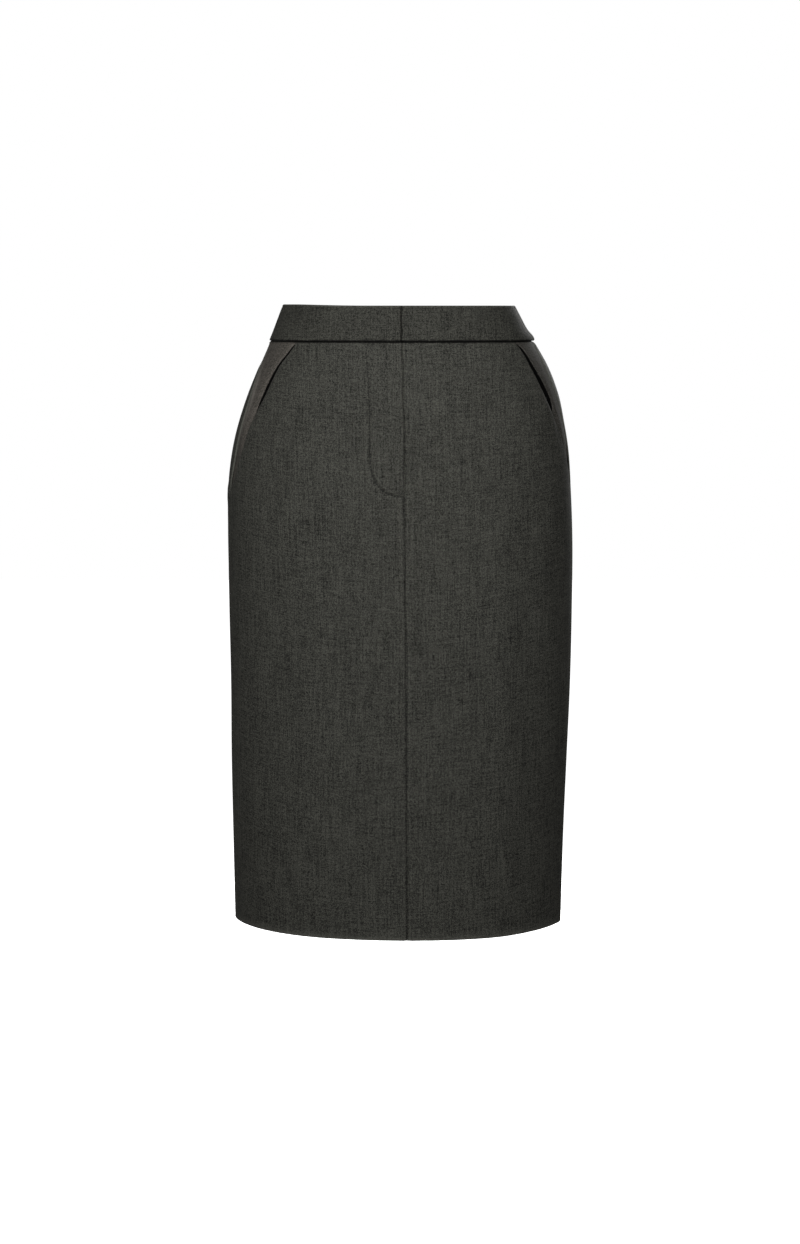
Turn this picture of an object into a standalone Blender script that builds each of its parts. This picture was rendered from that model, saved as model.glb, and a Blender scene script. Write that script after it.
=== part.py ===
"""Pencil skirt in dark wool, standing hollow in its own shape, as when it is worn.

Frame: metres, +Z up, the front faces -Y and +X is the wearer's left. The origin is the middle of the
waist opening, level with the waistband's top edge, where the wearer's waist holds the skirt.

Every piece is a wall of cloth laid on one surface, the form. A place on the form is an angle round
the body and a drop below the waist edge. Angle 0 is the centre front, 90 the wearer's left side,
-90 the wearer's right side and 180 the centre back. Depth is measured inwards from the form, so a
piece that lies under another is made on the same angles and drops, only deeper.
"""

import math

import bmesh
import bpy
import numpy as np

# Driving sizes, in metres
LENGTH = 0.650            # waist edge to hem, down the centre front
BAND_HEIGHT = 0.0365      # finished waistband
CLOTH = 0.0012            # one panel, with its turnings taken as part of the wall
BAND_WALL = 0.0024        # waistband: outer cloth, interfacing and inner cloth
BAND_PROUD = 0.0008       # how far the waistband stands out over the panels below it
SEAM_GAP = 0.0003         # left open between two pieces that meet at a seam
LAYER_GAP = 0.0005        # left open between two layers that lie on each other
TURN = 0.0020             # width in which an underlap drops below the layer that covers it

FLY_END = 0.193           # drop where the fly stops and the centre front seam starts
FLY_UNDERLAP = 0.005      # left front behind the lapping right front
MOUTH_END = 0.193         # drop where the pocket mouths run into the side seams
BAG_END = 0.300           # drop of the pocket bags' bottom
VENT_TOP = 0.470          # drop where the back vent starts
VENT_UNDERLAP = 0.040     # right back behind the lapping left back
BAND_UNDERLAP = 0.035     # left waistband end behind the right one

ZIP_CENTRE = -0.0095      # chain, measured round from the centre front
ZIP_HALF_TAPE = 0.0125
ZIP_HALF_CHAIN = 0.0025
ZIP_TAPE = 0.0010
ZIP_CHAIN = 0.0018
SLIDER_HALF_WIDTH = 0.0028
SLIDER_TOP = 0.0400       # drop of the slider's top, close under the waistband
SLIDER_LENGTH = 0.0100
SLIDER_WALL = 0.0014
TAB_HALF_WIDTH = 0.0019
TAB_END = 0.0680          # drop of the pull tab's lower end
TAB_WALL = 0.0008

UNDER = CLOTH + LAYER_GAP                          # depth of the layer below a panel
DEEP = UNDER + CLOTH + LAYER_GAP                   # depth of the layer below that
BAND_UNDER = BAND_WALL - BAND_PROUD + LAYER_GAP    # depth of the waistband's underlap
PANEL_TOP = BAND_HEIGHT + SEAM_GAP

SIGN = {"right": -1.0, "left": 1.0}


class Table:
    """Rows with named columns, read at any drop along a smooth curve through the rows."""

    def __init__(self, columns, rows):
        self.columns = columns
        self.rows = np.array(rows, dtype=float)
        self.slopes = np.gradient(self.rows, self.rows[:, 0], axis=0)

    def at(self, name, drop):
        drops = self.rows[:, 0]
        low = int(np.clip(np.searchsorted(drops, drop) - 1, 0, len(drops) - 2))
        column = self.columns.index(name)
        span = drops[low + 1] - drops[low]
        s = float(np.clip((drop - drops[low]) / span, 0.0, 1.0))
        start, end = self.rows[low:low + 2, column]
        slope_in, slope_out = self.slopes[low:low + 2, column] * span
        rise = s * s * (3.0 - 2.0 * s)
        return (
            start + (end - start) * rise
            + slope_in * s * (1.0 - s) ** 2
            - slope_out * s * s * (1.0 - s)
        )


# Level sections of the form. Widths are from the middle to the wearer's right and left side, depths
# from the middle to the centre front and the centre back. Twist is how many degrees the panels are
# turned round the body, pinch how far a side is pressed towards a crease, and lean how far the
# wearer's left crease points forward.
SECTIONS = Table(
    ("drop", "right", "left", "front", "back", "twist", "pinch_right", "pinch_left", "lean"),
    (
        (0.000, 0.1215, 0.1195, 0.093, 0.088, 0.44, 0.00, 0.00, 0.000),
        (0.037, 0.1365, 0.1390, 0.103, 0.096, 0.46, 0.00, 0.00, 0.000),
        (0.062, 0.1472, 0.1532, 0.109, 0.104, 0.65, 0.00, 0.00, 0.000),
        (0.094, 0.1602, 0.1655, 0.114, 0.114, 0.85, 0.00, 0.02, 0.000),
        (0.140, 0.1740, 0.1755, 0.1185, 0.127, 1.05, 0.02, 0.05, 0.000),
        (0.190, 0.1808, 0.1795, 0.121, 0.136, 1.20, 0.05, 0.11, 0.000),
        (0.236, 0.1810, 0.1814, 0.122, 0.138, 1.35, 0.09, 0.19, 0.001),
        (0.315, 0.1801, 0.1813, 0.122, 0.135, 1.60, 0.14, 0.30, 0.003),
        (0.395, 0.1788, 0.1797, 0.1215, 0.129, 1.80, 0.19, 0.38, 0.006),
        (0.475, 0.1786, 0.1764, 0.121, 0.124, 1.95, 0.22, 0.44, 0.009),
        (0.556, 0.1773, 0.1731, 0.1205, 0.120, 2.10, 0.24, 0.49, 0.012),
        (0.650, 0.1757, 0.1706, 0.120, 0.117, 2.25, 0.24, 0.52, 0.015),
    ),
)
SQUARENESS = 0.02         # how much fuller than an ellipse a section is
PINCH_SPREAD = 34.0       # degrees each way over which a side is pressed

# Angles of the side seams, which come forward over the hips
SIDE_SEAM = Table(
    ("drop", "right", "left"),
    (
        (0.037, 84.0, 80.0),
        (0.062, 79.5, 75.5),
        (0.090, 75.8, 76.5),
        (0.130, 75.0, 80.0),
        (0.160, 75.4, 83.0),
        (0.193, 79.0, 86.0),
        (0.245, 86.5, 87.8),
        (0.310, 91.0, 88.2),
        (0.650, 92.2, 87.8),
    ),
)

# Angles of the pocket mouths, slanting back from the waist seam, and how far each gapes open
POCKET_MOUTH = Table(
    ("drop", "right", "left", "gape"),
    (
        (0.0368, 48.7, 55.4, 0.0000),
        (0.048, 52.6, 58.6, 0.0006),
        (0.061, 57.0, 59.6, 0.0014),
        (0.075, 59.3, 61.6, 0.0022),
        (0.096, 61.4, 64.8, 0.0026),
        (0.110, 64.2, 66.9, 0.0018),
        (0.125, 65.6, 69.4, 0.0008),
        (0.142, 67.0, 72.4, 0.0003),
        (0.160, 69.2, 76.5, 0.0001),
        (0.178, 73.0, 81.2, 0.0000),
        (0.193, 79.0, 86.0, 0.0000),
    ),
)

PANEL_DROPS = (
    PANEL_TOP, 0.048, 0.061, 0.075, 0.090, 0.105, 0.120, 0.140, 0.160, 0.178, FLY_END, 0.203,
    0.230, 0.265, BAG_END, 0.350, 0.410, VENT_TOP, 0.480, 0.530, 0.590, LENGTH,
)
BAND_DROPS = (0.0, 0.012, 0.024, BAND_HEIGHT)

# Places of a panel's columns, from its centre seam (0) to its side (1), closer where it turns
ACROSS = (0.0, 0.10, 0.21, 0.32, 0.42, 0.51, 0.60, 0.68, 0.76, 0.83, 0.89, 0.95, 1.0)
BAG_FROM = ACROSS.index(0.42)
FACING_FROM = ACROSS.index(0.76)
MOUTH_RAMP = 0.24         # share of a front that lifts towards its gaping pocket mouth

# Places of a facing's columns between the mouth (0) and the side seam (1)
BEYOND_MOUTH = (0.20, 0.45, 0.70, 1.0)
FACING_FLUSH_END = 0.150  # drop below which the facing stays a layer deep up to the side seam
FACING_FLUSH_FADE = 0.012
FACING_END = 0.203
FACING_TUCK = 0.008       # how far the facing runs under the side seam at its lower end


def smooth_step(value):
    value = min(max(value, 0.0), 1.0)
    return value * value * (3.0 - 2.0 * value)


def section_point(angle, drop):
    """A point of the level section at this drop, seen from above."""
    t = math.radians(angle + SECTIONS.at("twist", drop))
    across = math.sin(t)
    along = math.cos(t)
    side = "left" if across > 0.0 else "right"
    x = (across + SQUARENESS * math.sin(3.0 * t)) / (1.0 - SQUARENESS) * SECTIONS.at(side, drop)
    reach = SECTIONS.at("front" if along > 0.0 else "back", drop)
    y = -(along - SQUARENESS * math.cos(3.0 * t)) / (1.0 - SQUARENESS) * reach
    off_side = math.degrees(math.asin(min(1.0, abs(along))))
    pressed = math.exp(-((off_side / PINCH_SPREAD) ** 2))
    y *= 1.0 - SECTIONS.at("pinch_" + side, drop) * pressed
    if side == "left":
        y -= SECTIONS.at("lean", drop) * pressed
    return np.array((x, y))


def form_point(angle, drop, depth=0.0):
    """A point on the form, moved inwards by the depth."""
    step = 0.05
    here = section_point(angle, drop)
    along = section_point(angle + step, drop) - section_point(angle - step, drop)
    outwards = np.array((along[1], -along[0])) / np.linalg.norm(along)
    moved = here - outwards * depth
    return (moved[0], moved[1], -drop)


def moved_round(angle, drop, distance):
    """The angle that lies this distance further round the section."""
    step = 0.05
    chord = section_point(angle + step, drop) - section_point(angle - step, drop)
    return angle + distance * 2.0 * step / np.linalg.norm(chord)


def cloth_wall(name, places, walls, filled, finish):
    """A closed wall over a grid of places, each an angle, a drop and a depth, where it is filled."""
    mesh = bmesh.new()
    corners = {}

    def corner(row, column, inner):
        key = (row, column, inner)
        if key not in corners:
            angle, drop, depth = places[row][column]
            wall = walls[row][column] if inner else 0.0
            corners[key] = mesh.verts.new(form_point(angle, drop, depth + wall))
        return corners[key]

    def two_triangles(a, b, c, d):
        mesh.faces.new((a, b, c))
        mesh.faces.new((a, c, d))

    for row, column in filled:
        ring = ((row, column), (row, column + 1), (row + 1, column + 1), (row + 1, column))
        a, b, c, d = (corner(*place, False) for place in ring)
        two_triangles(a, b, c, d)
        a, b, c, d = (corner(*place, True) for place in ring)
        mesh.faces.new((a, c, b))
        mesh.faces.new((a, d, c))
        beside = ((row - 1, column), (row, column + 1), (row + 1, column), (row, column - 1))
        for edge, neighbour in enumerate(beside):
            if neighbour in filled:
                continue
            start = ring[edge]
            end = ring[(edge + 1) % 4]
            two_triangles(corner(*end, False), corner(*start, False),
                          corner(*start, True), corner(*end, True))
    bmesh.ops.recalc_face_normals(mesh, faces=mesh.faces[:])
    data = bpy.data.meshes.new(name)
    mesh.to_mesh(data)
    mesh.free()
    piece = bpy.data.objects.new(name, data)
    bpy.context.scene.collection.objects.link(piece)
    data.materials.append(finish)
    return piece


def whole_grid(rows, columns):
    return {(row, column) for row in range(rows) for column in range(columns)}


def even_walls(places, wall):
    return [[wall] * len(row) for row in places]


def finish(name, colour, roughness, metallic=0.0):
    material = bpy.data.materials.new(name)
    material.use_nodes = True
    shader = material.node_tree.nodes["Principled BSDF"]
    shader.inputs["Base Color"].default_value = (*colour, 1.0)
    shader.inputs["Roughness"].default_value = roughness
    shader.inputs["Metallic"].default_value = metallic
    return material


def front_edge(side, drop):
    """Angle of a front's outer edge: the pocket mouth, then the side seam."""
    table = POCKET_MOUTH if drop < MOUTH_END else SIDE_SEAM
    return moved_round(table.at(side, drop), drop, -SEAM_GAP / 2.0)


def front_places(side, drop):
    """A front's columns at one drop, from the centre front to its outer edge."""
    start = moved_round(0.0, drop, SEAM_GAP / 2.0)
    edge = front_edge(side, drop)
    gape = POCKET_MOUTH.at("gape", drop) if drop < MOUTH_END else 0.0
    places = []
    for share in ACROSS:
        lift = gape * smooth_step((share - 1.0 + MOUTH_RAMP) / MOUTH_RAMP)
        angle = SIGN[side] * (start + (edge - start) * share)
        places.append((angle, drop, -lift))
    return places


def make_front_right(wool):
    places = [front_places("right", drop) for drop in PANEL_DROPS]
    filled = whole_grid(len(PANEL_DROPS) - 1, len(ACROSS) - 1)
    return cloth_wall("front_right", places, even_walls(places, CLOTH), filled, wool)


def make_front_left(wool):
    """The left front, which drops a layer at the fly and runs on behind the right front."""
    places = []
    filled = set()
    for row, drop in enumerate(PANEL_DROPS):
        columns = front_places("left", drop)
        sunk = UNDER if drop <= FLY_END else 0.0
        turned = moved_round(0.0, drop, SEAM_GAP / 2.0 + TURN)
        behind = moved_round(0.0, drop, -FLY_UNDERLAP)
        columns[0] = (columns[0][0], drop, sunk)
        columns.insert(1, (turned, drop, 0.0))
        columns.insert(0, (behind, drop, sunk))
        places.append(columns)
        if row + 1 < len(PANEL_DROPS):
            first = 0 if PANEL_DROPS[row + 1] <= FLY_END else 1
            filled |= {(row, column) for column in range(first, len(columns) - 1)}
    return cloth_wall("front_left", places, even_walls(places, CLOTH), filled, wool)


def back_places(side, drop):
    """A back's columns at one drop, from the centre back to the side seam."""
    centre = moved_round(180.0, drop, -SEAM_GAP / 2.0)
    seam = moved_round(SIDE_SEAM.at(side, drop), drop, SEAM_GAP / 2.0)
    return [(SIGN[side] * (centre + (seam - centre) * share), drop, 0.0) for share in ACROSS]


def make_back_left(wool):
    places = [back_places("left", drop) for drop in PANEL_DROPS]
    filled = whole_grid(len(PANEL_DROPS) - 1, len(ACROSS) - 1)
    return cloth_wall("back_left", places, even_walls(places, CLOTH), filled, wool)


def make_back_right(wool):
    """The right back, which drops a layer at the vent and runs on behind the left back."""
    places = []
    filled = set()
    for row, drop in enumerate(PANEL_DROPS):
        columns = back_places("right", drop)
        sunk = UNDER if drop > VENT_TOP else 0.0
        turned = moved_round(-180.0, drop, SEAM_GAP / 2.0 + TURN)
        half_behind = moved_round(-180.0, drop, -VENT_UNDERLAP / 2.0)
        behind = moved_round(-180.0, drop, -VENT_UNDERLAP)
        columns[0] = (columns[0][0], drop, sunk)
        columns.insert(1, (turned, drop, 0.0))
        columns.insert(0, (half_behind, drop, sunk))
        columns.insert(0, (behind, drop, sunk))
        places.append(columns)
        if row + 1 < len(PANEL_DROPS):
            first = 0 if drop > VENT_TOP else 2
            filled |= {(row, column) for column in range(first, len(columns) - 1)}
    return cloth_wall("back_right", places, even_walls(places, CLOTH), filled, wool)


def facing_places(side, drop):
    """A facing's columns at one drop: under the front, then across the open mouth to the seam."""
    places = [(angle, drop, UNDER) for angle, _, _ in front_places(side, drop)[FACING_FROM:]]
    mouth = abs(places[-1][0])
    seam = moved_round(SIDE_SEAM.at(side, drop), drop, -SEAM_GAP / 2.0)
    if drop > FACING_FLUSH_END + 2.0 * FACING_FLUSH_FADE:
        seam = moved_round(seam, drop, FACING_TUCK)
    fade = smooth_step((drop - FACING_FLUSH_END + FACING_FLUSH_FADE) / FACING_FLUSH_FADE)
    for share in BEYOND_MOUTH:
        rise = smooth_step(share) * (1.0 - fade)
        places.append((SIGN[side] * (mouth + (seam - mouth) * share), drop, UNDER * (1.0 - rise)))
    return places


def make_facing(side, wool):
    drops = [drop for drop in PANEL_DROPS if drop <= FACING_END]
    places = [facing_places(side, drop) for drop in drops]
    filled = whole_grid(len(drops) - 1, len(places[0]) - 1)
    return cloth_wall("pocket_facing_" + side, places, even_walls(places, CLOTH), filled, wool)


def make_bag(side, cotton):
    """A pocket bag, hanging behind the front, with its inner lower corner cut off."""
    drops = [drop for drop in PANEL_DROPS if drop <= BAG_END]
    places = [
        [(angle, drop, DEEP) for angle, _, _ in front_places(side, drop)[BAG_FROM:]]
        for drop in drops
    ]
    filled = whole_grid(len(drops) - 1, len(places[0]) - 1)
    filled.discard((len(drops) - 2, 0))
    return cloth_wall("pocket_bag_" + side, places, even_walls(places, CLOTH), filled, cotton)


def band_places(side, drop):
    """A front waistband's columns at one drop, from the centre front to its side seam."""
    start = moved_round(0.0, drop, SEAM_GAP / 2.0)
    edge = moved_round(SIDE_SEAM.at(side, BAND_HEIGHT), drop, -SEAM_GAP / 2.0)
    return [(SIGN[side] * (start + (edge - start) * share), drop, -BAND_PROUD) for share in ACROSS]


def make_waistband_right(wool):
    places = [band_places("right", drop) for drop in BAND_DROPS]
    filled = whole_grid(len(BAND_DROPS) - 1, len(ACROSS) - 1)
    return cloth_wall("waistband_right", places, even_walls(places, BAND_WALL), filled, wool)


def make_waistband_left(wool):
    """The left waistband, whose end turns in and runs on behind the right one."""
    places = []
    for drop in BAND_DROPS:
        columns = band_places("left", drop)
        columns[0] = (columns[0][0], drop, BAND_UNDER)
        columns.insert(1, (moved_round(0.0, drop, SEAM_GAP / 2.0 + TURN), drop, -BAND_PROUD))
        covering = [angle for angle, _, _ in band_places("right", drop) if angle < 0.0]
        end = moved_round(0.0, drop, -BAND_UNDERLAP)
        for angle in [angle for angle in covering[1:] if angle > end] + [end]:
            columns.insert(0, (angle, drop, BAND_UNDER))
        places.append(columns)
    filled = whole_grid(len(BAND_DROPS) - 1, len(places[0]) - 1)
    return cloth_wall("waistband_left", places, even_walls(places, BAND_WALL), filled, wool)


def make_waistband_back(wool):
    steps = 24
    places = []
    for drop in BAND_DROPS:
        start = moved_round(SIDE_SEAM.at("left", BAND_HEIGHT), drop, SEAM_GAP / 2.0)
        end = moved_round(360.0 - SIDE_SEAM.at("right", BAND_HEIGHT), drop, -SEAM_GAP / 2.0)
        angles = [start + (end - start) * step / steps for step in range(steps + 1)]
        places.append([(angle, drop, -BAND_PROUD) for angle in angles])
    filled = whole_grid(len(BAND_DROPS) - 1, steps)
    return cloth_wall("waistband_back", places, even_walls(places, BAND_WALL), filled, wool)


def make_zip(tape):
    """The closed zip: a tape each side of the chain, which is thicker."""
    chain_turn = 0.0003
    across = (
        (-ZIP_HALF_TAPE, ZIP_TAPE),
        (-ZIP_HALF_CHAIN - chain_turn, ZIP_TAPE),
        (-ZIP_HALF_CHAIN, ZIP_CHAIN),
        (ZIP_HALF_CHAIN, ZIP_CHAIN),
        (ZIP_HALF_CHAIN + chain_turn, ZIP_TAPE),
        (ZIP_HALF_TAPE, ZIP_TAPE),
    )
    drops = [SLIDER_TOP] + [drop for drop in PANEL_DROPS if SLIDER_TOP < drop <= FLY_END]
    places = []
    walls = []
    for drop in drops:
        angles = [moved_round(0.0, drop, ZIP_CENTRE + offset) for offset, _ in across]
        places.append([(angle, drop, DEEP) for angle in angles])
        walls.append([wall for _, wall in across])
    filled = whole_grid(len(drops) - 1, len(across) - 1)
    return cloth_wall("zip", places, walls, filled, tape)


def make_slider(metal):
    """The slider's plate on the chain, with the pull tab hanging straight down from it."""
    offsets = (-SLIDER_HALF_WIDTH, -TAB_HALF_WIDTH, TAB_HALF_WIDTH, SLIDER_HALF_WIDTH)
    step_down = 0.0004
    rows = (
        (SLIDER_TOP, SLIDER_WALL),
        (SLIDER_TOP + SLIDER_LENGTH, SLIDER_WALL),
        (SLIDER_TOP + SLIDER_LENGTH + step_down, TAB_WALL),
        (TAB_END, TAB_WALL),
    )
    top = DEEP - SEAM_GAP - SLIDER_WALL
    places = []
    walls = []
    for drop, wall in rows:
        angles = [moved_round(0.0, drop, ZIP_CENTRE + offset) for offset in offsets]
        places.append([(angle, drop, top) for angle in angles])
        walls.append([wall] * len(offsets))
    filled = {(0, 0), (0, 1), (0, 2), (1, 1), (2, 1)}
    return cloth_wall("zip_slider", places, walls, filled, metal)


def make_skirt():
    def wool(name):
        return finish(name + "_wool", (0.045, 0.045, 0.038), 0.85)

    make_front_right(wool("front_right"))
    make_front_left(wool("front_left"))
    make_back_right(wool("back_right"))
    make_back_left(wool("back_left"))
    for side in ("right", "left"):
        make_facing(side, wool("pocket_facing_" + side))
        make_bag(side, finish("pocket_bag_" + side + "_cotton", (0.03, 0.03, 0.028), 0.9))
    make_waistband_right(wool("waistband_right"))
    make_waistband_left(wool("waistband_left"))
    make_waistband_back(wool("waistband_back"))
    make_zip(finish("zip_tape", (0.025, 0.025, 0.023), 0.7))
    make_slider(finish("slider_metal", (0.35, 0.34, 0.32), 0.35, metallic=1.0))


for old in list(bpy.data.objects):
    bpy.data.objects.remove(old, do_unlink=True)
make_skirt()
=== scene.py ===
# %% [markdown]
# # A pencil skirt in dark wool
# The skirt stands open and hollow, as if someone unseen were wearing it. An imported model already
# holds each cut piece as a plain wall of cloth at its real size. This script dresses that model:
# each wall gets a fine shell with rolled seams, pressed folds, turnings, stitches and a woven
# cloth. We start by loading the imported model.

# %% Load the imported model
import math

import bpy
import numpy as np
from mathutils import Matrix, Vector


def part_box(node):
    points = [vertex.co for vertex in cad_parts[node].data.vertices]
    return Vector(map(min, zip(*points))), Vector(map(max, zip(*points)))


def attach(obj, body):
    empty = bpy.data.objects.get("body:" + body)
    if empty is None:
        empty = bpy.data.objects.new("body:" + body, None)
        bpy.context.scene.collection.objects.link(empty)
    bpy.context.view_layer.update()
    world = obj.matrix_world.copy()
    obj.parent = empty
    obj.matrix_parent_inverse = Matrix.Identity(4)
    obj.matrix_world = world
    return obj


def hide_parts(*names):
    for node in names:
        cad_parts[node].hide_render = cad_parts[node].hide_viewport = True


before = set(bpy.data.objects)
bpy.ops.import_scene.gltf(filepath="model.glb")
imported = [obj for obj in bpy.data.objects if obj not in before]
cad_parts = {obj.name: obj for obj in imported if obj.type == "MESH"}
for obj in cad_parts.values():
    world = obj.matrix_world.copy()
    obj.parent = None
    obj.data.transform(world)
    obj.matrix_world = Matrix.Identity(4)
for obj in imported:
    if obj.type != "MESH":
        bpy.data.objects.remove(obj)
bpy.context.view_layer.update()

print("nodes:", sorted(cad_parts))

# %% [markdown]
# ## Sizes
# A tailor works from a few sizes, and so do we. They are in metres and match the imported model.
# "Drop" is how far a place lies below the waist edge, and "depth" how far it lies inside the
# skirt's outer surface. Pieces are cut with turnings, which the seams fold to the inside.

# %% The maker's sizes
BAND_HEIGHT = 0.0365
BAND_PROUD = 0.0008
BAND_WALL = 0.0024
PANEL_TOP = 0.0368
TUCKED_UP = (0.0336, 0.0352, 0.0362)   # rows of a panel's top edge that lie inside the waistband
WOOL_WALL = 0.0010        # the cloth between its seams
TURNED_WALL = 0.0017      # where a turning doubles it
UNDER = 0.0017            # depth of a layer that lies behind a panel
DEEP = 0.0034             # depth of the layer behind that one
FLY_END = 0.193
FLY_UNDERLAP = 0.005
MOUTH_END = 0.193
FACING_END = 0.203
BAG_END = 0.300
VENT_TOP = 0.470
VENT_UNDERLAP = 0.040
BAND_UNDERLAP = 0.035
SEAM_TURNING = 0.015      # width of the turnings pressed open along a seam
HEM_TURNING = 0.038
ZIP_CENTRE = -0.0095
ZIP_TOP = 0.040
length = -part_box("front_right")[0][2]
print("front length, mm:", round(length * 1000, 1))


# %% [markdown]
# ## The form
# The skirt's shape is a stack of level sections, wider than they are deep. A short table gives the
# section at a dozen drops, and a smooth curve through the rows gives every drop between. Angles are
# in degrees, counted from the centre front. Right and left are the wearer's, and the wearer's left
# is on the plus side. Working on arrays of places at once keeps the fine shells quick to make.

# %% Tables read along a smooth curve
class Table:
    """Rows with named columns, read at any drop along a smooth curve through the rows."""

    def __init__(self, columns, rows):
        self.columns = columns
        self.rows = np.array(rows, dtype=float)
        self.slopes = np.gradient(self.rows, self.rows[:, 0], axis=0)

    def at(self, name, drop):
        drops = self.rows[:, 0]
        drop = np.asarray(drop, dtype=float)
        low = np.clip(np.searchsorted(drops, drop) - 1, 0, len(drops) - 2)
        column = self.columns.index(name)
        span = drops[low + 1] - drops[low]
        s = np.clip((drop - drops[low]) / span, 0.0, 1.0)
        start, end = self.rows[low, column], self.rows[low + 1, column]
        slope_in, slope_out = self.slopes[low, column] * span, self.slopes[low + 1, column] * span
        rise = s * s * (3.0 - 2.0 * s)
        return (
            start + (end - start) * rise
            + slope_in * s * (1.0 - s) ** 2
            - slope_out * s * s * (1.0 - s)
        )


# %% The level sections, the side seams and the pocket mouths
SECTIONS = Table(
    ("drop", "right", "left", "front", "back", "twist", "pinch_right", "pinch_left", "lean"),
    (
        (0.000, 0.1215, 0.1195, 0.093, 0.088, 0.44, 0.00, 0.00, 0.000),
        (0.037, 0.1365, 0.1390, 0.103, 0.096, 0.46, 0.00, 0.00, 0.000),
        (0.062, 0.1472, 0.1532, 0.109, 0.104, 0.65, 0.00, 0.00, 0.000),
        (0.094, 0.1602, 0.1655, 0.114, 0.114, 0.85, 0.00, 0.02, 0.000),
        (0.140, 0.1740, 0.1755, 0.1185, 0.127, 1.05, 0.02, 0.05, 0.000),
        (0.190, 0.1808, 0.1795, 0.121, 0.136, 1.20, 0.05, 0.11, 0.000),
        (0.236, 0.1810, 0.1814, 0.122, 0.138, 1.35, 0.09, 0.19, 0.001),
        (0.315, 0.1801, 0.1813, 0.122, 0.135, 1.60, 0.14, 0.30, 0.003),
        (0.395, 0.1788, 0.1797, 0.1215, 0.129, 1.80, 0.19, 0.38, 0.006),
        (0.475, 0.1786, 0.1764, 0.121, 0.124, 1.95, 0.22, 0.44, 0.009),
        (0.556, 0.1773, 0.1731, 0.1205, 0.120, 2.10, 0.24, 0.49, 0.012),
        (0.650, 0.1757, 0.1706, 0.120, 0.117, 2.25, 0.24, 0.52, 0.015),
    ),
)
SQUARENESS = 0.02
PINCH_SPREAD = 34.0

SIDE_SEAM = Table(
    ("drop", "right", "left"),
    (
        (0.037, 84.0, 80.0),
        (0.062, 79.5, 75.5),
        (0.090, 75.8, 76.5),
        (0.130, 75.0, 80.0),
        (0.160, 75.4, 83.0),
        (0.193, 79.0, 86.0),
        (0.245, 86.5, 87.8),
        (0.310, 91.0, 88.2),
        (0.650, 92.2, 87.8),
    ),
)

POCKET_MOUTH = Table(
    ("drop", "right", "left", "gape"),
    (
        (0.0368, 48.7, 55.4, 0.0000),
        (0.048, 51.6, 57.8, 0.0006),
        (0.061, 55.9, 58.6, 0.0014),
        (0.075, 58.2, 60.6, 0.0022),
        (0.096, 60.6, 63.9, 0.0026),
        (0.110, 63.6, 66.2, 0.0018),
        (0.125, 65.6, 69.4, 0.0008),
        (0.142, 67.0, 72.4, 0.0003),
        (0.160, 69.2, 76.5, 0.0001),
        (0.178, 73.0, 81.2, 0.0000),
        (0.193, 79.0, 86.0, 0.0000),
    ),
)
SIGN = {"right": -1.0, "left": 1.0}
print("side seams at the hip, degrees:", SIDE_SEAM.at("right", 0.2), SIDE_SEAM.at("left", 0.2))


# %% [markdown]
# ## Creases
# Worn cloth is never quite even. Pulls fan down from the waist seam, the cloth dips where a pocket
# mouth ends, and soft planes run down to the hem. Each one is a row: where it starts and ends, how
# wide it is and how far it stands out (or sinks, if negative). They move every layer alike, so the
# pieces still fit each other.

# %% Creases, listed one by one
MM = 0.001
CREASES = np.array((
    # from angle, drop; to angle, drop; half-width; height (all but the angles in mm)
    (-64, 106, -62, 138, 4, -0.9),
    (-70.5, 122, -69, 172, 6, 0.6),
    (67, 112, 68.5, 140, 4, -0.8),
    (-86, 186, -84, 204, 7, 0.7),
    (30, 150, 33, 620, 17, 1.4),
    (43, 230, 47, 640, 21, -1.2),
    (-27, 260, -29, 640, 24, 1),
    (-47, 200, -50, 600, 26, -1),
    (-8, 200, -9, 620, 14, 0.5),
    (-41, 37, -39.5, 82, 3.4, -0.3),
    (-34, 37, -33.5, 66, 2.8, 0.26),
    (-28.5, 37, -27.5, 94, 3.6, -0.34),
    (-21, 37, -21, 71, 2.6, 0.24),
    (-9.5, 37, -9, 78, 3.2, -0.28),
    (-4.5, 37, -4.8, 62, 2.4, 0.22),
    (6.5, 37, 6.2, 70, 3, -0.26),
    (13, 37, 13.5, 90, 3.4, 0.3),
    (21, 37, 21, 66, 2.8, -0.26),
    (29, 37, 30, 100, 4, -0.36),
    (36.5, 37, 37.5, 72, 3, 0.28),
    (45, 37, 47, 88, 3.4, -0.3),
    (118, 37, 120, 75, 3.4, -0.3),
    (131, 37, 131.5, 90, 4, 0.32),
    (158, 37, 157, 82, 3.6, -0.3),
    (170, 37, 170, 70, 3, 0.26),
    (-112, 37, -114, 84, 3.6, -0.32),
    (-127, 37, -128, 68, 3, 0.28),
    (-154, 37, -153, 92, 4, -0.3),
    (-168, 37, -168, 72, 3, 0.26),
    (86, 37, 84, 105, 26, 1.3),
    (-88, 37, -86, 60, 20, -1.1),
    (112, 205, 150, 262, 15, -1.2),
    (-110, 215, -148, 258, 14, -1.1),
    (128, 300, 124, 630, 24, 1.3),
    (150, 300, 152, 640, 22, -1.1),
    (-126, 320, -121, 640, 25, 1.2),
    (-148, 280, -151, 600, 23, -1.2),
)) * (1.0, MM, 1.0, MM, MM, MM)
METRES_A_DEGREE = 0.0026  # round the skirt, near enough for the width of a crease
CREASE_FADE = 0.25        # share of a crease's length over which it fades in and out


def smooth_step(value):
    """0 below 0 and 1 above 1, with a soft rise between."""
    value = np.clip(value, 0.0, 1.0)
    return value * value * (3.0 - 2.0 * value)


def hill(value, middle, width):
    """1 at the middle, falling away softly on both sides."""
    return np.exp(-(((value - middle) / width) ** 2))


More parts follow.
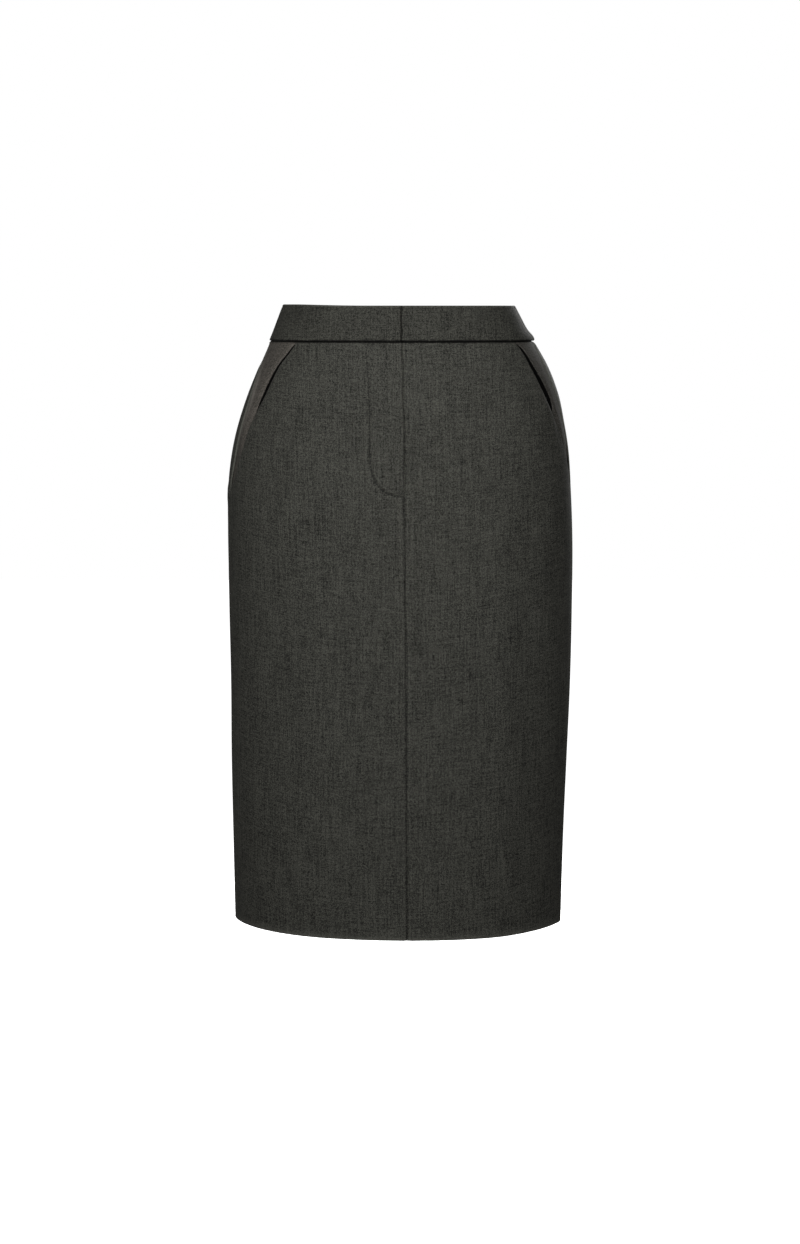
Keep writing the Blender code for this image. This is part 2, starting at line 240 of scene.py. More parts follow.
def crease_height(angle, drop):
    """How far the cloth stands out at these places, over all the creases."""
    total = np.zeros(np.broadcast(angle, drop).shape)
    for angle_from, drop_from, angle_to, drop_to, half_width, height in CREASES:
        off = (np.asarray(angle) - angle_from + 180.0) % 360.0 - 180.0
        x = off * METRES_A_DEGREE
        y = drop - drop_from
        run = np.array(((angle_to - angle_from) * METRES_A_DEGREE, drop_to - drop_from))
        size = np.linalg.norm(run)
        along = (x * run[0] + y * run[1]) / size ** 2
        beside = (x * run[1] - y * run[0]) / size
        starts_at_waist = drop_from < PANEL_TOP + 0.001
        fade_in = 1.0 if starts_at_waist else smooth_step((along + CREASE_FADE) / (2 * CREASE_FADE))
        fade_out = smooth_step((1.0 + CREASE_FADE - along) / (2 * CREASE_FADE))
        total += height * fade_in * fade_out * hill(beside, 0.0, half_width)
    return total * smooth_step((drop - BAND_HEIGHT) / 0.004)


# %% Places on the form
def section_xy(angle, drop):
    """Points of the level sections at these drops, seen from above."""
    t = np.radians(angle + SECTIONS.at("twist", drop))
    across, along = np.sin(t), np.cos(t)
    on_left = across > 0.0
    width = np.where(on_left, SECTIONS.at("left", drop), SECTIONS.at("right", drop))
    reach = np.where(along > 0.0, SECTIONS.at("front", drop), SECTIONS.at("back", drop))
    pinch = np.where(on_left, SECTIONS.at("pinch_left", drop), SECTIONS.at("pinch_right", drop))
    lean = np.where(on_left, SECTIONS.at("lean", drop), 0.0)
    off_side = np.degrees(np.arcsin(np.minimum(1.0, np.abs(along))))
    pressed = hill(off_side, 0.0, PINCH_SPREAD)
    x = (across + SQUARENESS * np.sin(3.0 * t)) / (1.0 - SQUARENESS) * width
    y = -(along - SQUARENESS * np.cos(3.0 * t)) / (1.0 - SQUARENESS) * reach
    return np.stack((x, y * (1.0 - pinch * pressed) - lean * pressed), axis=-1)


HEM_SWAY = 0.0015         # how much lower the front hem hangs on the wearer's left
HEM_SWAY_ANGLE = 30.0
HEM_SWAY_DROP = 0.45
WAIST_RISE = 0.0013       # how much higher the waist edge rides on the wearer's right


def edge_drift(angle, drop):
    """How far the cloth's hang lifts it (or lowers it, if negative) from its level cut."""
    turn = (np.asarray(angle) + 180.0) % 360.0 - 180.0
    in_front = smooth_step((118.0 - np.abs(turn)) / 28.0)
    sway = HEM_SWAY * np.cos(np.radians(1.5 * (turn - HEM_SWAY_ANGLE))) * in_front
    low = smooth_step((drop - HEM_SWAY_DROP) / (length - HEM_SWAY_DROP))
    on_right = smooth_step((-turn - 20.0) / 60.0) * smooth_step((turn + 165.0) / 50.0)
    return WAIST_RISE * on_right * smooth_step(1.0 - drop / 0.032) - sway * low


def on_form(angle, drop, depth):
    """Points in space at these angles and drops, moved inwards by the depth."""
    step = 0.05
    angle, drop, depth = np.broadcast_arrays(angle, drop, depth)
    chord = section_xy(angle + step, drop) - section_xy(angle - step, drop)
    outwards = np.stack((chord[..., 1], -chord[..., 0]), axis=-1)
    outwards /= np.linalg.norm(outwards, axis=-1, keepdims=True)
    inwards = (depth - crease_height(angle, drop))[..., None]
    level = section_xy(angle, drop) - outwards * inwards
    height = edge_drift(angle, drop) - drop
    return np.concatenate((level, height[..., None]), axis=-1)


def moved_round(angle, drop, distance):
    """The angles that lie this distance further round the sections."""
    step = 0.05
    chord = section_xy(angle + step, drop) - section_xy(angle - step, drop)
    return angle + distance * 2.0 * step / np.linalg.norm(chord, axis=-1)


def run_along(points, axis):
    """Distances along a grid of points, from its first row or column to each one."""
    steps = np.linalg.norm(np.diff(points, axis=axis), axis=-1)
    return np.insert(np.cumsum(steps, axis=axis), 0, 0.0, axis=axis)


girth_angles = np.arange(0.0, 361.0, 1.0)
for girth_drop in (0.0, 0.2, length):
    ring = on_form(girth_angles, girth_drop, 0.0)
    print("girth at drop", girth_drop, "m:", run_along(ring, 0)[-1].round(3))


# %% [markdown]
# ## Shells
# A shell is two grids of points, the cloth's right side and its wrong side, joined round the edge.
# The rows and columns are close together near an edge, where the cloth rolls into a seam, and wide
# apart in the open. Each point also keeps its place on the flat cut piece: how far it lies along
# the weft and along the warp. The weave is drawn in those flat places, so that it runs with the
# grain and never slides or stretches.

# %% Spacing rows and columns
NEAR_EDGE = (0.0, 0.0003, 0.0006, 0.0010, 0.0015, 0.0021, 0.0029, 0.0040)


def spaced(total, pitch, fine_start=True, fine_end=True, fine_at=()):
    """Distances from 0 to total: even steps, fine ones near the ends and about chosen places."""
    even = np.linspace(0.0, total, max(2, round(total / pitch) + 1))
    edge = np.array(NEAR_EDGE)
    keep = np.ones(len(even), bool)
    extra = []
    if fine_start:
        keep &= even > edge[-1] + pitch / 3
        extra.append(edge)
    if fine_end:
        keep &= even < total - edge[-1] - pitch / 3
        extra.append(total - edge)
    for place, reach, fine_pitch in fine_at:
        keep &= np.abs(even - place) > reach + fine_pitch / 2
        extra.append(np.arange(place - reach, place + reach + fine_pitch / 2, fine_pitch))
    together = np.unique(np.round(np.concatenate([even[keep], *extra, (0.0, total)]), 6))
    return together[(together >= 0.0) & (together <= total)]


def panel_drops(pitch_high=0.0028, pitch_low=0.0045, fine_at=()):
    """Rows of a panel, from its top edge, tucked up in the waistband, to the hem."""
    split = 0.205
    turning = ((length - HEM_TURNING - split, 0.0006, 0.0003),)
    high = PANEL_TOP + spaced(split - PANEL_TOP, pitch_high, fine_end=False, fine_at=fine_at)
    low = split + spaced(length - split, pitch_low, fine_start=False, fine_at=turning)
    return np.concatenate((TUCKED_UP, high, low[1:]))


print("rows of a plain panel:", len(panel_drops()))


# %% Building a shell
def mesh_object(name, points, faces, flat=None, pressed=None):
    data = bpy.data.meshes.new(name)
    data.from_pydata(points.tolist(), [], faces.tolist() if hasattr(faces, "tolist") else faces)
    data.update()
    if flat is not None:
        place = data.attributes.new("flat_place", "FLOAT_VECTOR", "POINT")
        place.data.foreach_set("vector", np.ascontiguousarray(flat, dtype=np.float32).ravel())
    # The pressed attribute holds painted light: above 0 edges painted lighter (partly press shine),
    # below 0 painted shade.
    if pressed is not None:
        press_shine_and_painted_light = data.attributes.new("pressed", "FLOAT", "POINT")
        press_shine_and_painted_light.data.foreach_set("value", np.ascontiguousarray(pressed, dtype=np.float32).ravel())
    data.shade_smooth()
    piece = bpy.data.objects.new(name, data)
    bpy.context.scene.collection.objects.link(piece)
    return piece


def shell(name, angle, drop, depth, inner_depth, filled=None, pressed=0.0, zero_column=0, lead=0.0):
    """A closed shell over a grid of places, which keeps each point's place on the flat cut piece."""
    angle, drop, depth, inner_depth, pressed = np.broadcast_arrays(
        angle, drop, depth, inner_depth, pressed
    )
    rows, columns = angle.shape
    outer = on_form(angle, drop, depth)
    inner = on_form(angle, drop, inner_depth)
    skin = on_form(angle, drop, 0.0)
    weft = run_along(skin, 1)
    warp = run_along(skin, 0)
    turned = angle[0, -1] < angle[0, 0]
    weft = (weft - weft[:, zero_column:zero_column + 1]) * (-1.0 if turned else 1.0) + lead
    flat = np.stack((weft, warp + drop[0, 0], np.zeros_like(warp)), axis=-1)
    if filled is None:
        filled = np.ones((rows - 1, columns - 1), bool)
    number = np.arange(rows * columns).reshape(rows, columns)
    a, b, c, d = number[:-1, :-1], number[:-1, 1:], number[1:, 1:], number[1:, :-1]
    ring = np.stack((a, b, c, d), axis=-1)[filled]
    outer_faces = ring if turned else ring[:, ::-1]
    total = rows * columns
    inner_faces = outer_faces[:, ::-1] + total
    padded = np.pad(filled, 1)
    rims = []
    for shift, first, second in (
        ((-1, 0), a, b), ((0, 1), b, c), ((1, 0), c, d), ((0, -1), d, a),
    ):
        beside = padded[1 + shift[0]:rows + shift[0], 1 + shift[1]:columns + shift[1]]
        edge = filled & ~beside
        pair = np.stack((first[edge], second[edge]), axis=-1)
        if not turned:
            pair = pair[:, ::-1]
        rims.append(np.stack((pair[:, 1], pair[:, 0], pair[:, 0] + total, pair[:, 1] + total), axis=-1))
    faces = np.concatenate((outer_faces, inner_faces, *rims))
    used = np.unique(faces)
    renumber = np.zeros(2 * total, int)
    renumber[used] = np.arange(len(used))
    points = np.concatenate((outer.reshape(-1, 3), inner.reshape(-1, 3)))[used]
    flats = np.concatenate((flat.reshape(-1, 3),) * 2)[used]
    press_shine_and_painted_light_values = np.concatenate((pressed.ravel(), np.zeros(total)))[used]
    piece = mesh_object(name, points, renumber[faces], flats, press_shine_and_painted_light_values)
    return piece


# %% [markdown]
# ## Colours and nodes
# Colours are written the way a picture program shows them, as sRGB hex values. Blender's shaders
# work in linear light, so one function turns them over. A second small function adds a node with
# its settings and links, which keeps each material short to read.

# %% Colour and node helpers
def colour(hex_value):
    """Linear RGBA of an sRGB hex value."""
    parts = [int(hex_value[i:i + 2], 16) / 255.0 for i in (1, 3, 5)]
    linear = [p / 12.92 if p <= 0.04045 else ((p + 0.055) / 1.055) ** 2.4 for p in parts]
    return (*linear, 1.0)


def new_material(name):
    material = bpy.data.materials.new(name)
    material.use_nodes = True
    return material, material.node_tree, material.node_tree.nodes["Principled BSDF"]


def wire(tree, node, **inputs):
    """Links or sets a node's inputs: a name with _ for each space, or _ and the input's number."""
    for key, value in inputs.items():
        socket = node.inputs[int(key[1:])] if key[0] == "_" else node.inputs[key.replace("_", " ")]
        if hasattr(value, "is_output"):
            tree.links.new(value, socket)
        else:
            socket.default_value = value


def add(tree, kind, settings=(), **inputs):
    """Adds a node, sets its properties, and links or sets its inputs."""
    node = tree.nodes.new(kind)
    for key, value in dict(settings).items():
        setattr(node, key, value)
    wire(tree, node, **inputs)
    return node


# %% [markdown]
# ## Worsted wool twill
# The cloth is a worsted twill of two-tone yarns: long combed wool, spun smooth, woven on the slant
# and pressed. To the eye it is a dry, nearly matt dark grey with a trace of olive. Every yarn
# varies a little in tone along its length. In a twill each warp yarn floats over two weft yarns
# and under one, a step further along in each row. So the eye sees short pieces of both, which draws
# faint upright and level streaks and a fine slanting rib. We build it the same way: number
# the yarns, give each its own wandering tone, and let the twill say which one lies on top. The real
# yarns are about 0.3 mm apart, too fine to show from here, so they are drawn 0.75 mm apart. Pressed
# edges and ridges are painted lighter, partly press shine and partly painted highlight, and seams,
# darts and the crease under the waistband get painted shade. Both are kept in each shell as one
# number, named pressed: above 0 is painted lighter, below 0 is painted shade. The waistband has its
# own pair of tones, painted darker as painted shade. The right pocket facing's pair is painted
# lighter and browner for the light it catches, and the left one's is a little lighter and browner
# than the front's.

# %% The wool
YARN = 0.00075            # a real yarn is 0.3 mm; drawn coarser so that it still shows
RISE = 3.0                # the twill repeats every third yarn
# How far each tone drifts across the weft way and the warp way before it changes.
DRIFTS = {
    "warp_yarn": (0.0001, 0.030),
    "weft_yarn": (0.018, 0.0001),
    "warp_slub": (0.0011, 0.060),
    "weft_slub": (0.028, 0.0011),
    "fleck": (0.0017, 0.0017),
    "cloud": (0.030, 0.050),
}
WEIGHTS = {"yarn": 0.90, "over": 0.12, "crossing": 0.80, "warp_slub": 0.50, "weft_slub": 0.50,
           "fleck": 0.80, "cloud": 0.15}


def wool_material(name, dark, light, press_shine_and_highlight_colour, contrast=1.0):
    material, tree, shader = new_material(name)
    place = add(tree, "ShaderNodeAttribute", {"attribute_name": "flat_place"}).outputs["Vector"]
    yarns = add(tree, "ShaderNodeVectorMath", {"operation": "DIVIDE"},
                _0=place, _1=(YARN, YARN, 1.0)).outputs["Vector"]
    crossing = add(tree, "ShaderNodeVectorMath", {"operation": "FLOOR"}, _0=yarns).outputs["Vector"]

    # The twill: one warp yarn in three goes under, one yarn further along in every row.
    rank = add(tree, "ShaderNodeVectorMath", {"operation": "DOT_PRODUCT"},
               _0=crossing, _1=(1.0, -1.0, 0.0)).outputs["Value"]
    place_in_rise = add(tree, "ShaderNodeMath", {"operation": "FLOORED_MODULO"},
                        _0=rank, _1=RISE).outputs[0]
    warp_on_top = add(tree, "ShaderNodeMath", {"operation": "GREATER_THAN"},
                      _0=place_in_rise, _1=0.5).outputs[0]

    # Soft tones, each stretched along the warp or the weft, read once for every crossing.
    drifts = {}
    for drift, (weft_size, warp_size) in DRIFTS.items():
        mapping = add(tree, "ShaderNodeMapping", Vector=crossing,
                      Location=(3.1 * len(drifts), 11.7, 0.0),
                      Scale=(YARN / weft_size, YARN / warp_size, 1.0))
        noise = add(tree, "ShaderNodeTexNoise", {"noise_dimensions": "2D"},
                    Vector=mapping.outputs["Vector"], Scale=1.0, Detail=1.0, Roughness=0.5)
        drifts[drift] = noise.outputs["Fac"]
    drifts["crossing"] = add(tree, "ShaderNodeTexWhiteNoise", {"noise_dimensions": "2D"},
                             Vector=crossing).outputs["Value"]
    drifts["yarn"] = add(tree, "ShaderNodeMix", {"data_type": "FLOAT"}, _0=warp_on_top,
                         _2=drifts["weft_yarn"], _3=drifts["warp_yarn"]).outputs[0]
    drifts["over"] = warp_on_top

    # Their weighted sum, about a middle of one half, mixes the dark fibre and the light one.
    tone = 0.5 - contrast * (0.5 * sum(WEIGHTS.values()) + 0.17 * WEIGHTS["over"])
    for drift, weight in WEIGHTS.items():
        tone = add(tree, "ShaderNodeMath", {"operation": "MULTIPLY_ADD"},
                   _0=drifts[drift], _1=weight * contrast, _2=tone).outputs[0]

    # Above 0 the cloth is painted lighter, partly press shine and partly painted highlight; below 0 it
    # gets painted shade.
    pressed = add(tree, "ShaderNodeAttribute", {"attribute_name": "pressed"}).outputs["Fac"]
    painted_shade = add(tree, "ShaderNodeMath", {"operation": "MINIMUM"}, _0=pressed, _1=0.0).outputs[0]
    shown = add(tree, "ShaderNodeMath", {"operation": "MULTIPLY_ADD"},
                _0=painted_shade, _1=1.2, _2=tone).outputs[0]
    cloth = add(tree, "ShaderNodeMix", {"data_type": "RGBA"}, _0=shown,
                _6=colour(dark), _7=colour(light))
    finished = add(tree, "ShaderNodeMix", {"data_type": "RGBA"}, _0=pressed,
                   _6=cloth.outputs[2], _7=colour(press_shine_and_highlight_colour))
    height = add(tree, "ShaderNodeMath", {"operation": "MULTIPLY_ADD"},
                 _0=warp_on_top, _1=0.5, _2=tone).outputs[0]
    bump = add(tree, "ShaderNodeBump", Height=height, Strength=0.30, Distance=0.00025)
    wire(tree, shader, Base_Color=finished.outputs[2], Normal=bump.outputs["Normal"],
         Roughness=0.82, Specular_IOR_Level=0.06, Sheen_Weight=0.02, Sheen_Roughness=0.45,
         Sheen_Tint=colour("#9a988c"))
    return material


worsted = wool_material("worsted_wool_twill", "#111110", "#43433e", "#5c5c56")
# The facings are copies of the front's wool: the right one's tones are painted lighter and browner for
# the light it catches.
facing_wools = {
    "right": wool_material("worsted_wool_right_facing_painted_lighter", "#201f1c", "#54504b", "#908b85", 0.8),
    "left": wool_material("worsted_wool_left_facing", "#161513", "#464440", "#5f5d58", 0.8),
}
# The waistband's copy of the wool is painted darker, as painted shade.
band_wool = wool_material("worsted_wool_waistband_painted_darker", "#10100f", "#3e3e39", "#53534d")

# %% [markdown]
# ## The other finishes
# The pocket bags are plain cotton pocketing, the zip runs on woven polyester tape with a moulded
# nylon chain, and its slider is die-cast zinc with a satin nickel finish. The sewing thread is a
# spun polyester, darker and duller than the wool, so that a row of it draws a fine quiet line.


# %% Pocketing, tape, thread and metal
def plain_weave_material(name, dark, light, yarn, roughness, lustre=0.3):
    """A plain weave: crossing ribs of warp and weft, drawn at a given yarn spacing."""
    material, tree, shader = new_material(name)
    place = add(tree, "ShaderNodeAttribute", {"attribute_name": "flat_place"}).outputs["Vector"]
    mapping = add(tree, "ShaderNodeMapping", {"vector_type": "POINT"}, Vector=place,
                  Scale=(1.0 / yarn, 1.0 / yarn, 1.0))
    checks = add(tree, "ShaderNodeTexChecker", Vector=mapping.outputs["Vector"], Scale=1.0)
    noise = add(tree, "ShaderNodeTexNoise", {"noise_dimensions": "2D"},
                Vector=mapping.outputs["Vector"], Scale=0.35, Detail=3.0)
    mix = add(tree, "ShaderNodeMix", {"data_type": "FLOAT"}, _0=0.6,
              _2=checks.outputs["Fac"], _3=noise.outputs["Fac"])
    cloth = add(tree, "ShaderNodeMix", {"data_type": "RGBA"}, _0=mix.outputs[0],
                _6=colour(dark), _7=colour(light))
    bump = add(tree, "ShaderNodeBump", Height=mix.outputs[0], Strength=0.5, Distance=0.0002)
    wire(tree, shader, Base_Color=cloth.outputs[2], Normal=bump.outputs["Normal"],
         Roughness=roughness, Specular_IOR_Level=lustre)
    return material


def grained_material(name, dark, light, grain, roughness, metallic=0.0, lustre=0.5):
    """A hard or spun finish with a fine grain, placed by the object's own coordinates."""
    material, tree, shader = new_material(name)
    place = add(tree, "ShaderNodeTexCoord").outputs["Object"]
    noise = add(tree, "ShaderNodeTexNoise", Vector=place, Scale=1.0 / grain, Detail=3.0)
    mix = add(tree, "ShaderNodeMix", {"data_type": "RGBA"}, _0=noise.outputs["Fac"],
              _6=colour(dark), _7=colour(light))
    bump = add(tree, "ShaderNodeBump", Height=noise.outputs["Fac"], Strength=0.15, Distance=0.0001)
    wire(tree, shader, Base_Color=mix.outputs[2], Normal=bump.outputs["Normal"],
         Roughness=roughness, Metallic=metallic, Specular_IOR_Level=lustre)
    return material


pocketing = plain_weave_material("cotton_pocketing", "#242422", "#3b3b38", 0.0008, 0.9)
# A near-black weave for the painted shadow strips in the pocket mouths.
painted_shadow_strip_material = plain_weave_material("painted_shadow_pocket_mouth", "#020202", "#060606", 0.0008, 0.95, 0.03)
zip_tape = plain_weave_material("polyester_zip_tape", "#191918", "#31312f", 0.0009, 0.75)
zip_nylon = grained_material("moulded_nylon_coil", "#1b1b1a", "#2e2e2c", 0.002, 0.4)
thread = grained_material("spun_polyester_thread", "#1a1a19", "#252523", 0.0006, 0.8, lustre=0.05)
nickel = grained_material("satin_nickel_zinc", "#8d8b86", "#a7a59f", 0.0008, 0.34, metallic=1.0)


# %% [markdown]
# ## Seams, folds and turnings
# A seam shows on the right side as a narrow ditch, because both pieces turn in to meet each other.
# A folded edge is rounder and stands free. On the wrong side the turnings lie pressed open beside
# the seam and make the cloth twice as thick there. Four little functions of the distance from an
# edge say all of this, and every piece below uses them.

# %% Edge profiles
def ditch(distance, depth=0.0011, width=0.0009):
    """Depth of the cloth as it turns into a seam."""
    return depth * np.exp(-((np.maximum(distance, 0.0) / width) ** 1.5))


def folded(distance, radius=0.0008):
    """Depth of the cloth as it rounds over a folded edge."""
    inside = np.clip(radius - distance, 0.0, radius)
    return radius - np.sqrt(np.maximum(radius ** 2 - inside ** 2, 0.0))


def turning(distance, width=SEAM_TURNING):
    """1 within a turning's width of its seam, 0 beyond it."""
    return smooth_step((width + 0.0003 - distance) / 0.0006)


def seam_press(distance, reach=0.0035):
    """How much an edge is painted lighter: partly its press shine, partly painted highlight."""
    return hill(distance, 0.0, reach)


# %% [markdown]
# ## Right front
# The right front laps over the left at the fly. Its free edge is a fold, and a J-shaped line of
# topstitching holds the fly's facing behind it: straight down, then curving in to the centre
# front. The stitching pulls the cloth down into a fine groove. The columns are closest between the
# centre front and that line, so that the groove is real shape and not a painted line.

# %% The fly's topstitched line
J_OFFSET_TOP = 0.0366     # from the centre front at the waist seam
J_OFFSET = 0.0340         # and where the curve starts
J_CURVE_TOP = 0.150
J_FULLNESS = 2.5          # 2 is an ellipse's quarter; more is squarer


def fly_line():
    """The line's places as (distance from the centre front, drop)."""
    straight = np.linspace(PANEL_TOP, J_CURVE_TOP, 60)
    offset = J_OFFSET_TOP + (J_OFFSET - J_OFFSET_TOP) * (straight - PANEL_TOP) / (
        J_CURVE_TOP - PANEL_TOP
    )
    turn = np.linspace(0.0, math.pi / 2.0, 90)[1:]
    across = J_OFFSET * np.cos(turn) ** (2.0 / J_FULLNESS)
    down = J_CURVE_TOP + (FLY_END - J_CURVE_TOP) * np.sin(turn) ** (2.0 / J_FULLNESS)
    return np.concatenate((np.stack((offset, straight), -1), np.stack((across, down), -1)))


def distance_to_line(x, y, line):
    """Shortest distance from each place to a line of points."""
    best = np.full(x.shape, 1.0)
    for (x0, y0), (x1, y1) in zip(line[:-1], line[1:]):
        run_x, run_y = x1 - x0, y1 - y0
        size = max(run_x ** 2 + run_y ** 2, 1e-12)
        s = np.clip(((x - x0) * run_x + (y - y0) * run_y) / size, 0.0, 1.0)
        best = np.minimum(best, np.hypot(x - x0 - s * run_x, y - y0 - s * run_y))
    return best


j_line = fly_line()
print("fly line length, mm:", round(1000 * run_along(j_line, 0)[-1], 1))


# %% A front's grid
NOMINAL_FRONT = 0.190
WIDEST_GAPE = 0.0026      # of a pocket mouth
AWAY = 1.0                # the distance of an edge that is not there, in metres
MOUTH_LIFT = 0.00091      # how far a front lifts at its pocket mouth
MOUTH_REACH = 0.026       # and how far in from the mouth
MOUTH_ROLL = 0.0022       # how far the mouth's edge rolls in
EDGE_COLUMNS = ((NOMINAL_FRONT - SEAM_TURNING, 0.0006, 0.0003),)


def front_outer_angle(side, drop):
    """Angle of a front's outer edge: the pocket mouth, then the side seam."""
    return np.where(
        drop < MOUTH_END,
        POCKET_MOUTH.at(side, np.minimum(drop, MOUTH_END)),
        SIDE_SEAM.at(side, drop),
    )


def at_rows(drops, angle):
    """The drop of every place of a grid of angles, one drop to a row."""
    return np.repeat(drops[:, None], angle.shape[1], axis=1)


def measured_grid(side, drops, angle):
    """A grid's angles and drops, and its distances from its first and its last column."""
    angle = SIGN[side] * angle
    drop = at_rows(drops, angle)
    from_first = run_along(on_form(angle, drop, 0.0), 1)
    return angle, drop, from_first, from_first[:, -1:] - from_first


def with_underlap(start, behind, drops, angle, from_first, from_last):
    """The same grid, widened by columns that run on behind its first edge."""
    extra = moved_round(start, drops[:, None], behind[None, :])
    angle = np.concatenate((extra, angle), axis=1)
    beside = np.repeat(behind[None, :], len(drops), axis=0)
    from_first = np.concatenate((beside, from_first), axis=1)
    from_last = np.concatenate((np.full(extra.shape, AWAY), from_last), axis=1)
    return angle, at_rows(drops, angle), from_first, from_last


def front_grid(side, drops, columns):
    """Angles, drops and the distances from the centre seam and the outer edge."""
    edge = front_outer_angle(side, drops)
    return measured_grid(side, drops, edge[:, None] * (columns / columns[-1])[None, :])


def gape_share(drop):
    """How far a pocket mouth gapes, as a share of its widest gape."""
    return POCKET_MOUTH.at("gape", np.minimum(drop, MOUTH_END)) / WIDEST_GAPE


def mouth_lift(drop, from_edge):
    """How far a front stands off at its gaping pocket mouth."""
    return MOUTH_LIFT * gape_share(drop) * smooth_step(1.0 - from_edge / MOUTH_REACH) ** 1.4


SEAM_PROUD = 0.00025      # the turnings behind a seam push it out a little
SEAM_SHADE = 0.26         # how much painted shade darkens the ditch of a seam
SEAM_DEPTH = 0.0013       # of the ditch that a seam makes
WAIST_SHADE = 0.82        # how much the cloth darkens in the crease under the waistband
WAIST_DEPTH = 0.0030      # of that crease
TUCKED_DEPTH = 0.0021     # how deep a panel's top edge lies inside the waistband


def waist_shade(drop):
    """1 in the crease under the waistband and 0 below it: the crease's shape, and where its painted
    shade lies.
    """
    return np.exp(-((np.maximum(drop - BAND_HEIGHT, 0.0) / 0.0012) ** 4))


def waist_ditch(angle, drop):
    """The steep ditch under the waistband, shallower where it runs round the hips."""
    hips = smooth_step((np.abs(np.sin(np.radians(angle))) - 0.80) / 0.17)
    shown = WAIST_DEPTH * waist_shade(drop) * (1.0 - 0.55 * hips)
    return np.where(drop < BAND_HEIGHT, np.maximum(shown, TUCKED_DEPTH), shown)


def mouth_roll(drop, from_edge):
    """How far a front's mouth edge rolls in, more where the pocket gapes."""
    return gape_share(drop) * ditch(from_edge, MOUTH_ROLL, 0.0045)


def panel_faces(angle, drop, seams, folds, lift=0.0):
    """Depths of a panel's right and wrong sides, and its painted lighter edges and painted shade, from
    its edge distances.
    """
    from_hem = length - drop
    rounding = folded(from_hem)
    proud = 0.0
    doubled = np.maximum(turning(drop - BAND_HEIGHT, 0.012), turning(from_hem, HEM_TURNING))
    outer = waist_ditch(angle, drop) + rounding - lift
    # The hem, seams and folds are painted lighter, partly press shine and partly painted highlight; the
    # waist crease and the seams' ditches get painted shade.
    press_shine_and_painted_light = 0.35 * seam_press(from_hem, 0.004)
    shade = WAIST_SHADE * waist_shade(drop)
    for distance in seams:
        pushed = SEAM_PROUD * smooth_step((SEAM_TURNING - distance) / 0.010)
        proud = proud + pushed
        outer = outer + ditch(distance, SEAM_DEPTH, 0.0017) - pushed
        doubled = np.maximum(doubled, turning(distance))
        press_shine_and_painted_light = np.maximum(press_shine_and_painted_light, 0.05 * seam_press(distance - 0.0030, 0.0016))
        shade = shade + SEAM_SHADE * hill(np.maximum(distance, 0.0), 0.0, 0.0011)
    for distance in folds:
        outer = outer + folded(distance)
        rounding = rounding + folded(distance)
        doubled = np.maximum(doubled, turning(distance, 0.030))
        press_shine_and_painted_light = np.maximum(press_shine_and_painted_light, 0.05 * seam_press(distance, 0.0030))
    inner = WOOL_WALL + (TURNED_WALL - WOOL_WALL) * doubled - lift - proud
    return outer, np.maximum(inner - rounding, outer + 0.0002), press_shine_and_painted_light - shade


def front_faces(angle, drop, from_edge, centre_seam, centre_folds=()):
    """A front's faces: its outer edge is a fold at the pocket mouth and a seam below it."""
    is_mouth = drop < MOUTH_END
    mouth = np.where(is_mouth, from_edge, AWAY)
    side_seam = np.where(is_mouth, AWAY, from_edge)
    lift = mouth_lift(drop, from_edge) - mouth_roll(drop, from_edge)
    return panel_faces(angle, drop, (centre_seam, side_seam), (*centre_folds, mouth), lift)


# %% Make the right front
J_GROOVE = 0.00135        # depth of the topstitched line's groove
J_PUFF = 0.00030          # how far the cloth puffs up beside it
J_ROWS = ((0.173 - PANEL_TOP, 0.0225, 0.0010),)


def make_front_right():
    drops = panel_drops(fine_at=J_ROWS)
    near_centre = np.arange(0.004, 0.039, 0.0007)
    open_cloth = spaced(NOMINAL_FRONT, 0.0032, fine_start=False, fine_at=EDGE_COLUMNS)[12:]
    columns = np.unique(np.concatenate((NEAR_EDGE, near_centre, open_cloth)))
    columns = columns[np.concatenate(([True], np.diff(columns) > 0.00015))]
    angle, drop, from_centre, from_edge = front_grid("right", drops, columns)
    centre_fold = np.where(drop <= FLY_END, from_centre, AWAY)
    centre_seam = np.where(drop > FLY_END, from_centre, AWAY)
    outer, inner, press_shine_and_painted_light = front_faces(angle, drop, from_edge, centre_seam, (centre_fold,))
    near = distance_to_line(from_centre, drop, j_line)
    deeper = 0.00045 * (smooth_step((drop - 0.160) / 0.020) - hill(drop, 0.142, 0.028))
    groove = (J_GROOVE + deeper) * hill(near, 0.0, 0.0011)
    puff = J_PUFF * hill(near, 0.0027, 0.0014)
    return shell("front_right_wool", angle, drop, outer + groove - puff, inner + groove,
                 pressed=press_shine_and_painted_light)


front_right = make_front_right()


# %% [markdown]
# ## Left front
# The left front is cut like the right one, but at the fly it drops behind it and runs on a little
# way to carry one side of the zip. Below the fly the two fronts meet in a plain seam.

# %% Make the left front
def filled_cells(angle, underlap, rows):
    """Which cells of a grid are cloth: the columns of its underlap only at some rows."""
    filled = np.ones((angle.shape[0] - 1, angle.shape[1] - 1), bool)
    filled[:, :underlap] = rows[:, None]
    return filled


